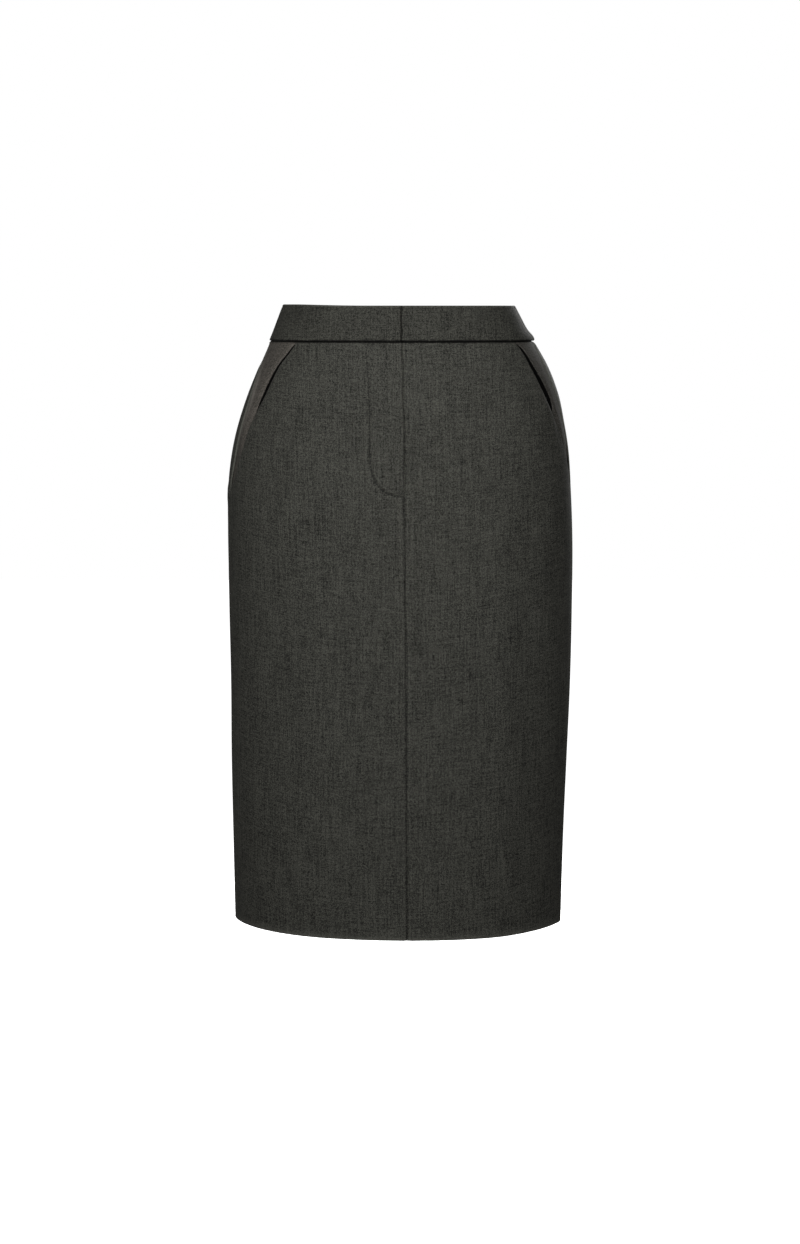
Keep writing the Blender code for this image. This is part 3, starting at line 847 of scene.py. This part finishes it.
def make_front_left():
    drops = panel_drops()
    columns = spaced(NOMINAL_FRONT, 0.0032, fine_at=EDGE_COLUMNS)
    behind = np.array((-FLY_UNDERLAP, -0.0025, -0.0002))
    angle, drop, from_centre, from_edge = front_grid("left", drops, columns)
    angle, drop, from_centre, from_edge = with_underlap(
        0.0, behind, drops, angle, from_centre, from_edge
    )
    fly = drop <= FLY_END
    centre_seam = np.where(fly, AWAY, np.maximum(from_centre, 0.0))
    outer, inner, press_shine_and_painted_light = front_faces(angle, drop, from_edge, centre_seam)
    gap = 0.0020 + 0.0005 * np.sin(drop * 170.0) * np.sin(drop * 61.0 + 1.0)
    sunk = np.where(fly, (UNDER + 0.0010) * smooth_step((gap - from_centre) / 0.0012), 0.0)
    return shell("front_left_wool", angle, drop, outer + sunk, inner + sunk,
                 filled_cells(angle, len(behind), drops[1:] <= FLY_END),
                 pressed=press_shine_and_painted_light, zero_column=len(behind), lead=0.31)


front_left = make_front_left()


# %% [markdown]
# ## Pocket facings and bags
# Behind each slanting mouth a facing of the same wool carries on to the side seam, so that the
# gaping pocket shows wool and not its cotton bag. The facing sinks away under the mouth, and a
# near-black painted shadow strip in that trough draws the dark line. The bag hangs behind and is
# only seen from inside the skirt.

# %% Make the facings
FACING_TUCKED = 0.024     # how far a facing runs in behind the front
FACING_SINK = 0.0030      # how much deeper a bag lies under the widest part of the mouth
TROUGH = 0.0032           # and how much deeper its facing does
FACING_HIGHLIGHT = {"right": 0.50, "left": 0.20}   # painted highlight on each facing where it faces the light


def trough_width(gape):
    """How far outwards of the mouth the facing rises again."""
    return 0.0060 + 0.0080 * gape


def make_facing(side):
    shown = PANEL_TOP + spaced(FACING_END - PANEL_TOP, 0.0024, fine_end=False)
    drops = np.concatenate((TUCKED_UP, shown))
    column = drops[:, None]
    mouth_angle = POCKET_MOUTH.at(side, np.minimum(column, MOUTH_END))
    seam_angle = SIDE_SEAM.at(side, column)
    tucked = 2.0 * mouth_angle - moved_round(mouth_angle, column, FACING_TUCKED)
    lower_tuck = 0.006 * smooth_step((column - 0.150) / 0.030)
    end_angle = moved_round(seam_angle, column, lower_tuck)
    behind = np.linspace(0.0, 1.0, 9)[:-1]
    near_mouth = np.array((0.01, 0.03, 0.06))
    near_seam = 1.0 - np.array((0.004, 0.012, 0.025, 0.045, 0.07))
    across = np.unique(np.concatenate((np.linspace(0.0, 1.0, 22), near_mouth, near_seam)))
    angle = np.concatenate((
        tucked + (mouth_angle - tucked) * behind,
        mouth_angle + (end_angle - mouth_angle) * across,
    ), axis=1)
    angle, drop, run, from_seam = measured_grid(side, drops, angle)
    past_mouth = run - run[:, len(behind):len(behind) + 1]
    width = np.maximum(past_mouth[:, -1:], 0.001)
    gape = np.clip(gape_share(drop), 0.0, 1.0)
    flush = 1.0 - smooth_step((drop - 0.135) / 0.030)
    rise = smooth_step(past_mouth / np.minimum(width, trough_width(gape)))
    sunk = (UNDER + TROUGH * gape) * (1.0 - rise * flush) + 0.0003 * flush * rise
    outer = sunk + flush * ditch(from_seam, 0.0009, 0.0007) + waist_ditch(angle, drop)
    inner = np.maximum(sunk, 0.0) + WOOL_WALL + 0.0004 * turning(from_seam)
    # Painted highlight where the facing catches the light, and along its side seam.
    painted_highlight = 0.6 * hill(drop, 0.088, 0.030) * hill(from_seam, 0.0070, 0.0042)
    seam_highlight = 0.4 * seam_press(from_seam - 0.0016, 0.0018) * flush
    press_shine_and_painted_light = FACING_HIGHLIGHT[side] * np.maximum(seam_highlight, painted_highlight)
    return shell("pocket_facing_" + side + "_wool", angle, drop, outer,
                 np.maximum(inner, outer + 0.0004),
                 pressed=press_shine_and_painted_light - WAIST_SHADE * waist_shade(drop), lead=0.5)


SIDES = ("right", "left")
facings = {side: make_facing(side) for side in SIDES}


# %% [markdown]
# ### The painted shadow in the mouth
# The dark line along each gaping mouth is painted shadow: a near-black strip lies in the trough
# between the front and the facing, where the gap is in shade. It is a narrow strip along the mouth,
# wider where it gapes more.

# %% Make the painted shadow strips in the mouths
SHADOW_STRIP_TOP = 0.0375
SHADOW_STRIP_END = 0.130
SHADOW_STRIP_BEHIND = 0.004
SHADOW_STRIP_SHOWS = {"right": 0.70, "left": 0.95}     # share of the gape that the painted shadow strip fills


def make_mouth_shadow_strip(side):
    drops = np.linspace(SHADOW_STRIP_TOP, SHADOW_STRIP_END, 52)[:, None]
    share = np.linspace(0.0, 1.0, 9)[None, :]
    gape = gape_share(drops)
    ends = smooth_step((drops - SHADOW_STRIP_TOP + 0.004) / 0.012) * smooth_step((SHADOW_STRIP_END - drops) / 0.036)
    shown = SHADOW_STRIP_SHOWS[side] * (0.0036 + 0.00546 * gape) * ends
    run = -SHADOW_STRIP_BEHIND + (SHADOW_STRIP_BEHIND + shown) * share
    angle = moved_round(POCKET_MOUTH.at(side, drops), drops, run)
    trough = (UNDER + TROUGH * gape) * (1.0 - smooth_step(run / trough_width(gape)))
    depth = np.maximum(trough - 0.0007, 0.0)
    depth = np.where(run < 0.0, np.maximum(depth, 0.0011), depth) + 0.0003 * share ** 4
    return shell("pocket_mouth_shadow_strip_" + side, SIGN[side] * angle, drops, depth, depth + 0.0004)


mouth_shadow_strips = {side: make_mouth_shadow_strip(side) for side in SIDES}


# %% Make the pocket bags
BAG_CORNERS = (
    # where along the bag, how far it reaches across, its drop, how far it reaches down, its side
    (0.66, 0.24, 0.245, 0.055, -1.0),
    (0.80, 0.20, 0.250, 0.050, 1.0),
)


def make_bag(side):
    drops = PANEL_TOP + 0.002 + spaced(BAG_END - PANEL_TOP - 0.002, 0.005)
    share = np.linspace(0.42, 1.0, 40)[None, :]
    angle = SIGN[side] * front_outer_angle(side, drops)[:, None] * share
    drop = at_rows(drops, angle)
    near_mouth = smooth_step((share - 0.55) / 0.35)
    wave = 0.0012 * np.sin(share * 21.0 + drop * 35.0) * smooth_step((drop - 0.06) / 0.1)
    depth = DEEP + 0.0006 + FACING_SINK * np.clip(gape_share(drop), 0.0, 1.0) * near_mouth + wave
    filled = np.ones((len(drops) - 1, share.size - 1), bool)
    middle = share[:, :-1]
    low = drops[:-1, None]
    for place, across, top, down, sense in BAG_CORNERS:
        round_off = ((middle - place) / across) ** 2 + ((low - top) / down) ** 2 > 1.0
        filled &= ~(((middle - place) * sense > 0.0) & (low > top) & round_off)
    return shell("pocket_bag_" + side + "_cotton", angle, drop, depth, depth + 0.0009, filled)


bags = {side: make_bag(side) for side in SIDES}


# %% [markdown]
# ## Backs
# Each back is shaped to the body by a dart from the waist seam, and the two meet in a centre back
# seam. Near the hem that seam opens into a vent for walking: the left back laps over the right,
# which runs on behind it.

# %% Make the backs
NOMINAL_BACK = 0.230
DART_ANGLE = 143.0
DART_LENGTH = 0.115
DART_DEPTH = 0.0013
VENT_LIFT = 0.0022        # how far the vent's lap stands off at the hem
BACK_COLUMNS = ((SEAM_TURNING, 0.0006, 0.0003), (NOMINAL_BACK - SEAM_TURNING, 0.0006, 0.0003),
                (0.094, 0.0036, 0.0006))


def back_grid(side, drops):
    columns = spaced(NOMINAL_BACK, 0.0034, fine_at=BACK_COLUMNS)
    seam = SIDE_SEAM.at(side, drops)[:, None]
    return measured_grid(side, drops, 180.0 + (seam - 180.0) * (columns / columns[-1])[None, :])


def back_faces(angle, drop, from_centre, from_seam, centre_is_fold):
    """A back's faces, with the dart's ditch and the ridge of the side seam over the hip."""
    hip_ridge = hill(from_seam, 0.0014, 0.0013) * smooth_step((0.205 - drop) / 0.03)
    centre_seam = np.where(centre_is_fold, AWAY, np.maximum(from_centre, 0.0))
    centre_fold = np.where(centre_is_fold, from_centre, AWAY)
    outer, inner, press_shine_and_painted_light = panel_faces(
        angle, drop, (centre_seam, from_seam), (centre_fold,), 0.0005 * hip_ridge
    )
    away = (np.abs(angle) - DART_ANGLE) * METRES_A_DEGREE * 0.82
    dart = smooth_step((PANEL_TOP + DART_LENGTH - drop) / 0.020) * hill(away, 0.0, 0.0013)
    # Painted highlight along the hip ridge, and painted shade in the dart's ditch.
    press_shine_and_painted_light = np.maximum(press_shine_and_painted_light, 0.55 * hip_ridge) - SEAM_SHADE * dart
    return outer + DART_DEPTH * dart, inner, press_shine_and_painted_light


def make_back_left():
    drops = panel_drops()
    angle, drop, from_centre, from_seam = back_grid("left", drops)
    lap = smooth_step((drop - VENT_TOP) / 0.004)
    outer, inner, press_shine_and_painted_light = back_faces(angle, drop, from_centre, from_seam, drop > VENT_TOP)
    opened = smooth_step((drop - VENT_TOP) / 0.16) * smooth_step(1.0 - from_centre / 0.05)
    lifted = VENT_LIFT * opened * lap
    return shell("back_left_wool", angle, drop, outer - lifted, inner - lifted,
                 pressed=press_shine_and_painted_light, lead=0.9)


def make_back_right():
    drops = panel_drops()
    behind = np.concatenate((np.arange(-VENT_UNDERLAP, -0.002, 0.0034), (-0.0015, -0.0004)))
    angle, drop, from_centre, from_seam = back_grid("right", drops)
    angle, drop, from_centre, from_seam = with_underlap(
        -180.0, behind, drops, angle, from_centre, from_seam
    )
    vent = drop > VENT_TOP
    centre = np.where(vent, AWAY, np.maximum(from_centre, 0.0))
    outer, inner, press_shine_and_painted_light = back_faces(angle, drop, centre, from_seam, False)
    sunk = np.where(vent, (UNDER + 0.0004) * smooth_step((0.0030 - from_centre) / 0.0034), 0.0)
    return shell("back_right_wool", angle, drop, outer + sunk, inner + sunk,
                 filled_cells(angle, len(behind), drops[:-1] > VENT_TOP),
                 pressed=press_shine_and_painted_light, zero_column=len(behind), lead=1.3)


back_left = make_back_left()
back_right = make_back_right()


# %% [markdown]
# ## Waistband
# The waistband is cut on a curve, so that it flares with the hips, and is stiffened inside. Its
# lower edge stands a little proud of the panels it is sewn to. A row of fine understitching runs
# just below the top edge. The right end is a clean fold at the centre front, and the left end runs
# on behind it.

# %% Make the waistband
FLARE_ANGLE = 88.0        # where the band springs out over the wearer's left hip
FLARE_DROP = 0.0325
BAND_FLARE = 0.0026       # and how far it does
BAND_TURNED_UP = 0.0022   # how much thicker its turned-up lower edge is
CENTRE_SHADE = 0.25       # how much the cloth darkens where the ends lap
STITCH_DROP = 0.0026      # of the understitching


def band_depths(angle, drop, ends):
    """Right and wrong side of the band, with rounded edges and the understitched groove."""
    from_bottom = BAND_HEIGHT - drop
    flare = BAND_FLARE * hill(drop, FLARE_DROP, 0.0055) * hill(angle, FLARE_ANGLE, 20.0)
    roll = folded(drop, 0.0011) + folded(from_bottom, 0.0016)
    for distance, kind in ends:
        roll = roll + (folded(distance, 0.0018) if kind == "fold" else ditch(distance, 0.0007, 0.0007))
    outer = -BAND_PROUD + roll + 0.00032 * hill(drop, STITCH_DROP, 0.0006) - flare
    turned_up = BAND_TURNED_UP * smooth_step((0.010 - from_bottom) / 0.005)
    inner = BAND_WALL - BAND_PROUD + turned_up - folded(drop, 0.0009) - flare
    # Painted lighter along the folded top edge (press shine and painted highlight), painted shade along
    # the bottom edge.
    press_shine_and_painted_light = 0.30 * seam_press(drop, 0.0014) - 0.70 * np.exp(-((from_bottom / 0.0016) ** 4))
    return outer, np.maximum(inner, outer + 0.0003), press_shine_and_painted_light


seam_right = float(SIDE_SEAM.at("right", BAND_HEIGHT))
seam_left = float(SIDE_SEAM.at("left", BAND_HEIGHT))
BAND_PARTS = {
    # first and last angle, nominal length, column spacing, kind of first end, lead of the weave
    "right": (0.0, -seam_right, 0.150, 0.0026, "fold", 2.1),
    "left": (0.0, seam_left, 0.150, 0.0026, "fold", 2.6),
    "back": (seam_left, 360.0 - seam_right, 0.300, 0.0032, "seam", 3.2),
}


def make_band(part):
    first, last, total, pitch, first_end, lead = BAND_PARTS[part]
    drops = spaced(BAND_HEIGHT, 0.0016)
    columns = spaced(total, pitch)
    run = np.repeat(columns[None, :], len(drops), axis=0)
    angle = first + (last - first) * run / columns[-1]
    drop = at_rows(drops, angle)
    behind = np.zeros(0)
    if part == "left":
        free_end = -BAND_UNDERLAP + np.array(NEAR_EDGE)
        behind = np.concatenate((free_end, np.arange(-0.030, -0.0015, 0.0026), (-0.0008, -0.0003)))
        angle, drop, run, _ = with_underlap(0.0, behind, drops, angle, run, run)
    ends = ((run - run[0, 0], first_end), (columns[-1] - run, "seam"))
    outer, inner, press_shine_and_painted_light = band_depths(angle, drop, ends)
    sunk = 0.0
    if part == "right":
        press_shine_and_painted_light = press_shine_and_painted_light - CENTRE_SHADE * np.exp(-((run / 0.0008) ** 4))
    if part == "left":
        gap = 0.0011 + 0.0006 * np.sin(drop * 420.0) * np.sin(drop * 150.0 + 1.0)
        sunk = (BAND_WALL + 0.0005) * smooth_step((gap - run) / 0.0016)
        press_shine_and_painted_light = press_shine_and_painted_light - CENTRE_SHADE * (run < gap)
    return shell("waistband_" + part + "_wool", angle, drop, outer + sunk, inner + sunk,
                 pressed=press_shine_and_painted_light, zero_column=len(behind), lead=lead)


bands = {part: make_band(part) for part in BAND_PARTS}


# %% [markdown]
# ## Stitches
# A stitch is a short bar of thread that dips into the cloth at both ends. A row of them could be
# instances on a curve; here the points of every bar are worked out at once from a small pattern
# and joined in one mesh, which is light and keeps each row a single piece.

# %% Rows of stitches
TUBE_SIDES = 6
STITCH_SHAPE = (
    # share of the stitch's length, thickness, rise from the line
    (0.0, 0.35, -1.1), (0.18, 0.95, 0.2), (0.5, 1.0, 0.55), (0.82, 0.95, 0.2), (1.0, 0.35, -1.1),
)


def joined_tubes(name, tubes):
    """Closed tubes in one mesh. A tube is a list of rings: (centre, one half-axis, the other)."""
    points = []
    faces = []
    sides = range(TUBE_SIDES)
    for rings in tubes:
        base = len(points)
        for centre, first, second in rings:
            for side in sides:
                turn = 2.0 * math.pi * side / TUBE_SIDES
                points.append(centre + first * math.cos(turn) + second * math.sin(turn))
        last = base + (len(rings) - 1) * TUBE_SIDES
        for start in range(base, last, TUBE_SIDES):
            for side in sides:
                a = start + side
                b = start + (side + 1) % TUBE_SIDES
                faces.append((a, b, b + TUBE_SIDES, a + TUBE_SIDES))
        faces.append(tuple(base + side for side in reversed(sides)))
        faces.append(tuple(last + side for side in sides))
    return mesh_object(name, np.array(points), faces)


def stitch_row(name, angles, drops, depths, stitch=0.0026, gap=0.0006, radius=0.00048):
    """Thread bars along a line of places on the form."""
    centres = on_form(angles, drops, depths)
    run = run_along(centres, 0)
    count = int(run[-1] // (stitch + gap))
    starts = (np.arange(count) + 0.5) * (run[-1] / count) - stitch / 2.0

    def place(distance):
        return np.array([np.interp(distance, run, centres[:, k]) for k in range(3)])

    stitches = []
    for start in starts:
        rings = []
        for share, swell, rise in STITCH_SHAPE:
            here = start + share * stitch
            at = place(here)
            along = place(here + 0.0004) - place(here - 0.0004)
            along /= np.linalg.norm(along)
            out = np.array((at[0], at[1] * 1.6, 0.0))
            out -= along * out.dot(along)
            out *= radius / np.linalg.norm(out)
            rings.append((at + out * rise, out * swell, np.cross(along, out) * 1.25 * swell))
        stitches.append(rings)
    print(name, "stitches:", count)
    return joined_tubes(name, stitches)


j_angles = np.zeros(len(j_line))
for stage in range(30):   # small stages, because the front curves away from the centre
    j_angles = moved_round(j_angles, j_line[:, 1], j_line[:, 0] / 30)
j_angles = -j_angles
j_groove = 0.00062 + 0.00040 * smooth_step((j_line[:, 1] - 0.160) / 0.020)
keep = (j_line[:, 1] > PANEL_TOP + 0.003) & (j_line[:, 0] > 0.001)
fly_stitches = stitch_row("fly_topstitch_thread", j_angles[keep], j_line[keep, 1], j_groove[keep])

band_stitches = {}
for part, first, last in (("right", -1.2, -82.5), ("left", 1.6, 78.5), ("back", 82.0, 274.5)):
    band_stitches[part] = stitch_row(
        "waistband_understitch_" + part, np.linspace(first, last, 160), STITCH_DROP,
        -BAND_PROUD + 0.00022, stitch=0.0022, gap=0.0012, radius=0.00018,
    )


# %% [markdown]
# ## Zip
# The zip is closed and hidden behind the fly: two woven tapes with a nylon coil between them and a
# metal slider at the top. The coil is drawn as the row of small rounded bars that it looks like
# from either side, made in a loop and joined.

# %% The tapes
def make_tapes():
    drops = ZIP_TOP + spaced(FLY_END - ZIP_TOP, 0.004)
    across = np.concatenate((np.linspace(-0.0125, -0.0006, 10), np.linspace(0.0006, 0.0125, 10)))
    angle = moved_round(0.0, drops[:, None], ZIP_CENTRE + across[None, :])
    return shell("zip_tapes", angle, at_rows(drops, angle), DEEP + 0.0004, DEEP + 0.0011)


COIL_PITCH = 0.0014
COIL_RADIUS = 0.00045
COIL_HALF = 0.0023
COIL_SHAPE = ((0.0, 0.45), (0.12, 0.95), (0.88, 0.95), (1.0, 0.45))


def make_coil():
    upright = np.array((0.0, 0.0, 1.0))
    middle = np.array((ZIP_CENTRE - COIL_HALF, ZIP_CENTRE + COIL_HALF))
    bars = []
    for turn in range(int((FLY_END - ZIP_TOP - 0.006) / COIL_PITCH)):
        drop = ZIP_TOP + 0.003 + turn * COIL_PITCH
        lean = 0.0003 if turn % 2 else -0.0003
        angles = moved_round(0.0, drop, middle)
        for depth in (DEEP + 0.0002, DEEP + 0.0014):
            start, end = on_form(angles, np.array((drop - lean, drop + lean)), depth)
            along = (end - start) / np.linalg.norm(end - start)
            first = np.cross(along, upright)
            first *= COIL_RADIUS / np.linalg.norm(first)
            second = np.cross(along, first)
            bars.append([
                (start + (end - start) * share, first * swell, second * swell)
                for share, swell in COIL_SHAPE
            ])
    print("coil bars:", len(bars))
    return joined_tubes("zip_coil", bars)


zip_tapes = make_tapes()
zip_coil = make_coil()


# %% [markdown]
# ### Slider and pull tab
# The slider is a small cast wedge that straddles the coil: wider at the shoulders, with a bridge
# that carries a flat pull tab with rounded ends and a hole. It is made from outlines in the zip's
# own plane, given thickness and softened edges, and laid on the form at the top of the coil.

# %% The slider
def plate(outline, near, far, hole=None):
    """A flat plate in the zip's plane: outline points are (across, drop), between two depths."""
    points = []
    faces = []
    count = len(outline)
    centre = np.mean(outline, axis=0)
    inset = 0.00022
    levels = ((near, inset), (near + inset, 0.0), (far - inset, 0.0), (far, inset))
    loops = [(np.array(outline), centre, 1.0)]
    if hole is not None:
        loops.append((np.array(hole), np.mean(hole, axis=0), -1.0))
    for loop, middle, sense in loops:
        for depth, shrink in levels:
            away = loop - middle
            size = np.linalg.norm(away, axis=1, keepdims=True)
            moved = middle + away * (1.0 - sense * shrink / size)
            angles = moved_round(0.0, moved[:, 1], ZIP_CENTRE + moved[:, 0])
            points.extend(on_form(angles, moved[:, 1], np.full(count, depth)))
    stacks = len(loops)
    for stack in range(stacks):
        for level in range(len(levels) - 1):
            for i in range(count):
                a = (stack * len(levels) + level) * count + i
                b = (stack * len(levels) + level) * count + (i + 1) % count
                quad = (a, b, b + count, a + count)
                faces.append(quad if stack == 0 else quad[::-1])
    last = (len(levels) - 1) * count
    if stacks == 1:
        faces.append(tuple(reversed(range(count))))
        faces.append(tuple(last + i for i in range(count)))
    else:
        shift = len(levels) * count
        for i in range(count):
            j = (i + 1) % count
            faces.append((j, i, shift + i, shift + j))
            faces.append((last + i, last + j, last + shift + j, last + shift + i))
    return points, faces


def rounded_outline(half_top, half_bottom, top, bottom, corner, steps=4):
    """A closed outline, wider at one end, with rounded corners."""
    corners = (
        (-half_top, top, 180.0),
        (half_top, top, 270.0),
        (half_bottom, bottom, 0.0),
        (-half_bottom, bottom, 90.0),
    )
    outline = []
    for x, y, start in corners:
        inward_x = corner if x < 0 else -corner
        inward_y = corner if y == top else -corner
        for step in range(steps + 1):
            turn = math.radians(start + 90.0 * step / steps)
            across = x + inward_x + corner * math.cos(turn)
            outline.append((across, y + inward_y + corner * math.sin(turn)))
    return outline


def make_slider():
    top = ZIP_TOP + 0.0002
    wing = rounded_outline(0.0027, 0.0020, top, top + 0.0088, 0.0009)
    neck = rounded_outline(0.0007, 0.0007, top + 0.0006, top + 0.0016, 0.0002)
    tab = rounded_outline(0.0012, 0.0019, top + 0.0070, 0.0675, 0.0010)
    tab_hole = rounded_outline(0.0006, 0.0007, 0.0622, 0.0652, 0.0005)
    parts = (
        plate(wing, DEEP - 0.0012, DEEP - 0.0003),
        plate(wing, DEEP + 0.0021, DEEP + 0.0030),
        plate(neck, DEEP - 0.0006, DEEP + 0.0024),
        plate(tab, DEEP - 0.0019, DEEP - 0.0013, tab_hole),
    )
    points = []
    faces = []
    for part_points, part_faces in parts:
        base = len(points)
        points.extend(part_points)
        faces.extend(tuple(base + i for i in face) for face in part_faces)
    return mesh_object("zip_slider_nickel", np.array(points), faces)


zip_slider = make_slider()
print("slider vertices:", len(zip_slider.data.vertices))

# %% [markdown]
# ## Dress and ride
# Each new piece gets its finish, rides on the imported body, and stands for its plain solid. For each
# piece of cloth, declare works out the widest width and the length of its flat places, and keeps
# neither.


# %% Put everything on the model
def dress(piece, material, node=None):
    piece.data.materials.append(material)
    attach(piece, "root")
    if node:
        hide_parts(node)


def cut_size(piece):
    """Widest width and greatest length of a piece's flat places, in metres."""
    places = np.empty(len(piece.data.vertices) * 3, dtype=np.float32)
    piece.data.attributes["flat_place"].data.foreach_get("vector", places)
    spans = np.ptp(places.reshape(-1, 3), axis=0)
    return float(spans[0]), float(spans[1])


def declare(piece):
    width, height = cut_size(piece)


wool_pieces = (
    (front_right, worsted, "front_right", fly_stitches),
    (front_left, worsted, "front_left", None),
    (back_right, worsted, "back_right", None),
    (back_left, worsted, "back_left", None),
    (bands["right"], band_wool, "waistband_right", band_stitches["right"]),
    (bands["left"], band_wool, "waistband_left", band_stitches["left"]),
    (bands["back"], band_wool, "waistband_back", band_stitches["back"]),
)
for piece, wool, node, stitches in wool_pieces:
    dress(piece, wool, node)
    if stitches:
        dress(stitches, thread)
    declare(piece)
for side in SIDES:
    dress(facings[side], facing_wools[side], "pocket_facing_" + side)
    declare(facings[side])
    dress(bags[side], pocketing, "pocket_bag_" + side)
    dress(mouth_shadow_strips[side], painted_shadow_strip_material)
    declare(bags[side])
    declare(mouth_shadow_strips[side])
dress(zip_tapes, zip_tape, "zip")
dress(zip_coil, zip_nylon)
declare(zip_tapes)
dress(zip_slider, nickel, "zip_slider")

# %% [markdown]
# ## Studio
# A plain white floor and a white surround, one large soft light close in front, and a weaker one
# far to the left. The main light is near, so its light falls off round the sides, and it stands
# high, so the skirt darkens slowly towards its hem. The surround lifts the shadows. A third soft
# light behind the skirt shows the back and hardly reaches the front.


# %% Floor, lights and surround
FLOOR_DROP = 1.10
FLOOR_HALF = 9.0
WHITE = (1.0, 1.0, 1.0, 1.0)


def paint_floor():
    material, tree, shader = new_material("white_studio_floor")
    place = add(tree, "ShaderNodeTexCoord").outputs["Object"]
    noise = add(tree, "ShaderNodeTexNoise", Vector=place, Scale=3.0, Detail=2.0)
    mix = add(tree, "ShaderNodeMix", {"data_type": "RGBA"}, _0=noise.outputs["Fac"],
              _6=colour("#f4f4f3"), _7=colour("#f8f8f7"))
    wire(tree, shader, Base_Color=mix.outputs[2], Roughness=0.8,
         Emission_Color=WHITE, Emission_Strength=1.0)
    return material


def make_floor():
    corners = ((-1.0, -1.0), (1.0, -1.0), (1.0, 1.0), (-1.0, 1.0))
    points = np.array([(x * FLOOR_HALF, y * FLOOR_HALF, -FLOOR_DROP) for x, y in corners])
    floor = mesh_object("studio_floor", points, [(0, 1, 2, 3)])
    floor.data.materials.append(paint_floor())
    floor.visible_diffuse = False
    floor.visible_glossy = False
    return floor


def soft_light(name, location, aim, width, height, watts):
    data = bpy.data.lights.new(name, "AREA")
    data.shape = "RECTANGLE"
    data.size = width
    data.size_y = height
    data.energy = watts
    light = bpy.data.objects.new(name, data)
    bpy.context.scene.collection.objects.link(light)
    light.location = location
    away = np.array(aim) - np.array(location)
    light.rotation_euler = (
        math.atan2(np.hypot(away[0], away[1]), -away[2]),
        0.0,
        math.atan2(-away[0], away[1]),
    )
    light.visible_camera = False
    return light


def white_surround(shown, lighting):
    """A surround that looks white, yet lights the skirt no more than a grey room would."""
    world = bpy.data.worlds.new("white_surround")
    world.use_nodes = True
    tree = world.node_tree
    ray = add(tree, "ShaderNodeLightPath")
    strength = add(tree, "ShaderNodeMix", {"data_type": "FLOAT"},
                   _0=ray.outputs["Is Camera Ray"], _2=lighting, _3=shown)
    wire(tree, tree.nodes["Background"], Strength=strength.outputs[0], Color=WHITE)
    bpy.context.scene.world = world


make_floor()
soft_light("key_softbox", (-0.07, -1.20, 0.26), (0.0, 0.0, -0.26), 0.8, 0.6, 21.4)
soft_light("left_fill", (-1.9, 0.35, 0.3), (0.0, 0.0, -0.3), 0.8, 1.4, 3.8)
soft_light("back_softbox", (0.7, 2.4, 0.5), (0.0, 0.0, -0.3), 1.6, 1.0, 80.0)
white_surround(1.0, 0.205)
bpy.context.scene.view_settings.view_transform = "Standard"

# %% [markdown]
# ## Camera
# The camera stands level with the waist edge, straight in front, and looks down a little, so that
# the waist edge is seen edge-on and the hem as a shallow curve.

# %% The camera
CAMERA_DISTANCE = 3.2
AIM_DROP = 0.333
camera_data = bpy.data.cameras.new("front_camera")
camera_data.lens = 88.0
camera_data.sensor_width = 36.0
camera = bpy.data.objects.new("front_camera", camera_data)
bpy.context.scene.collection.objects.link(camera)
camera.location = (0.0, -CAMERA_DISTANCE, 0.0)
camera.rotation_euler = (math.pi / 2.0 - math.atan2(AIM_DROP, CAMERA_DISTANCE), 0.0, 0.0)
bpy.context.scene.camera = camera
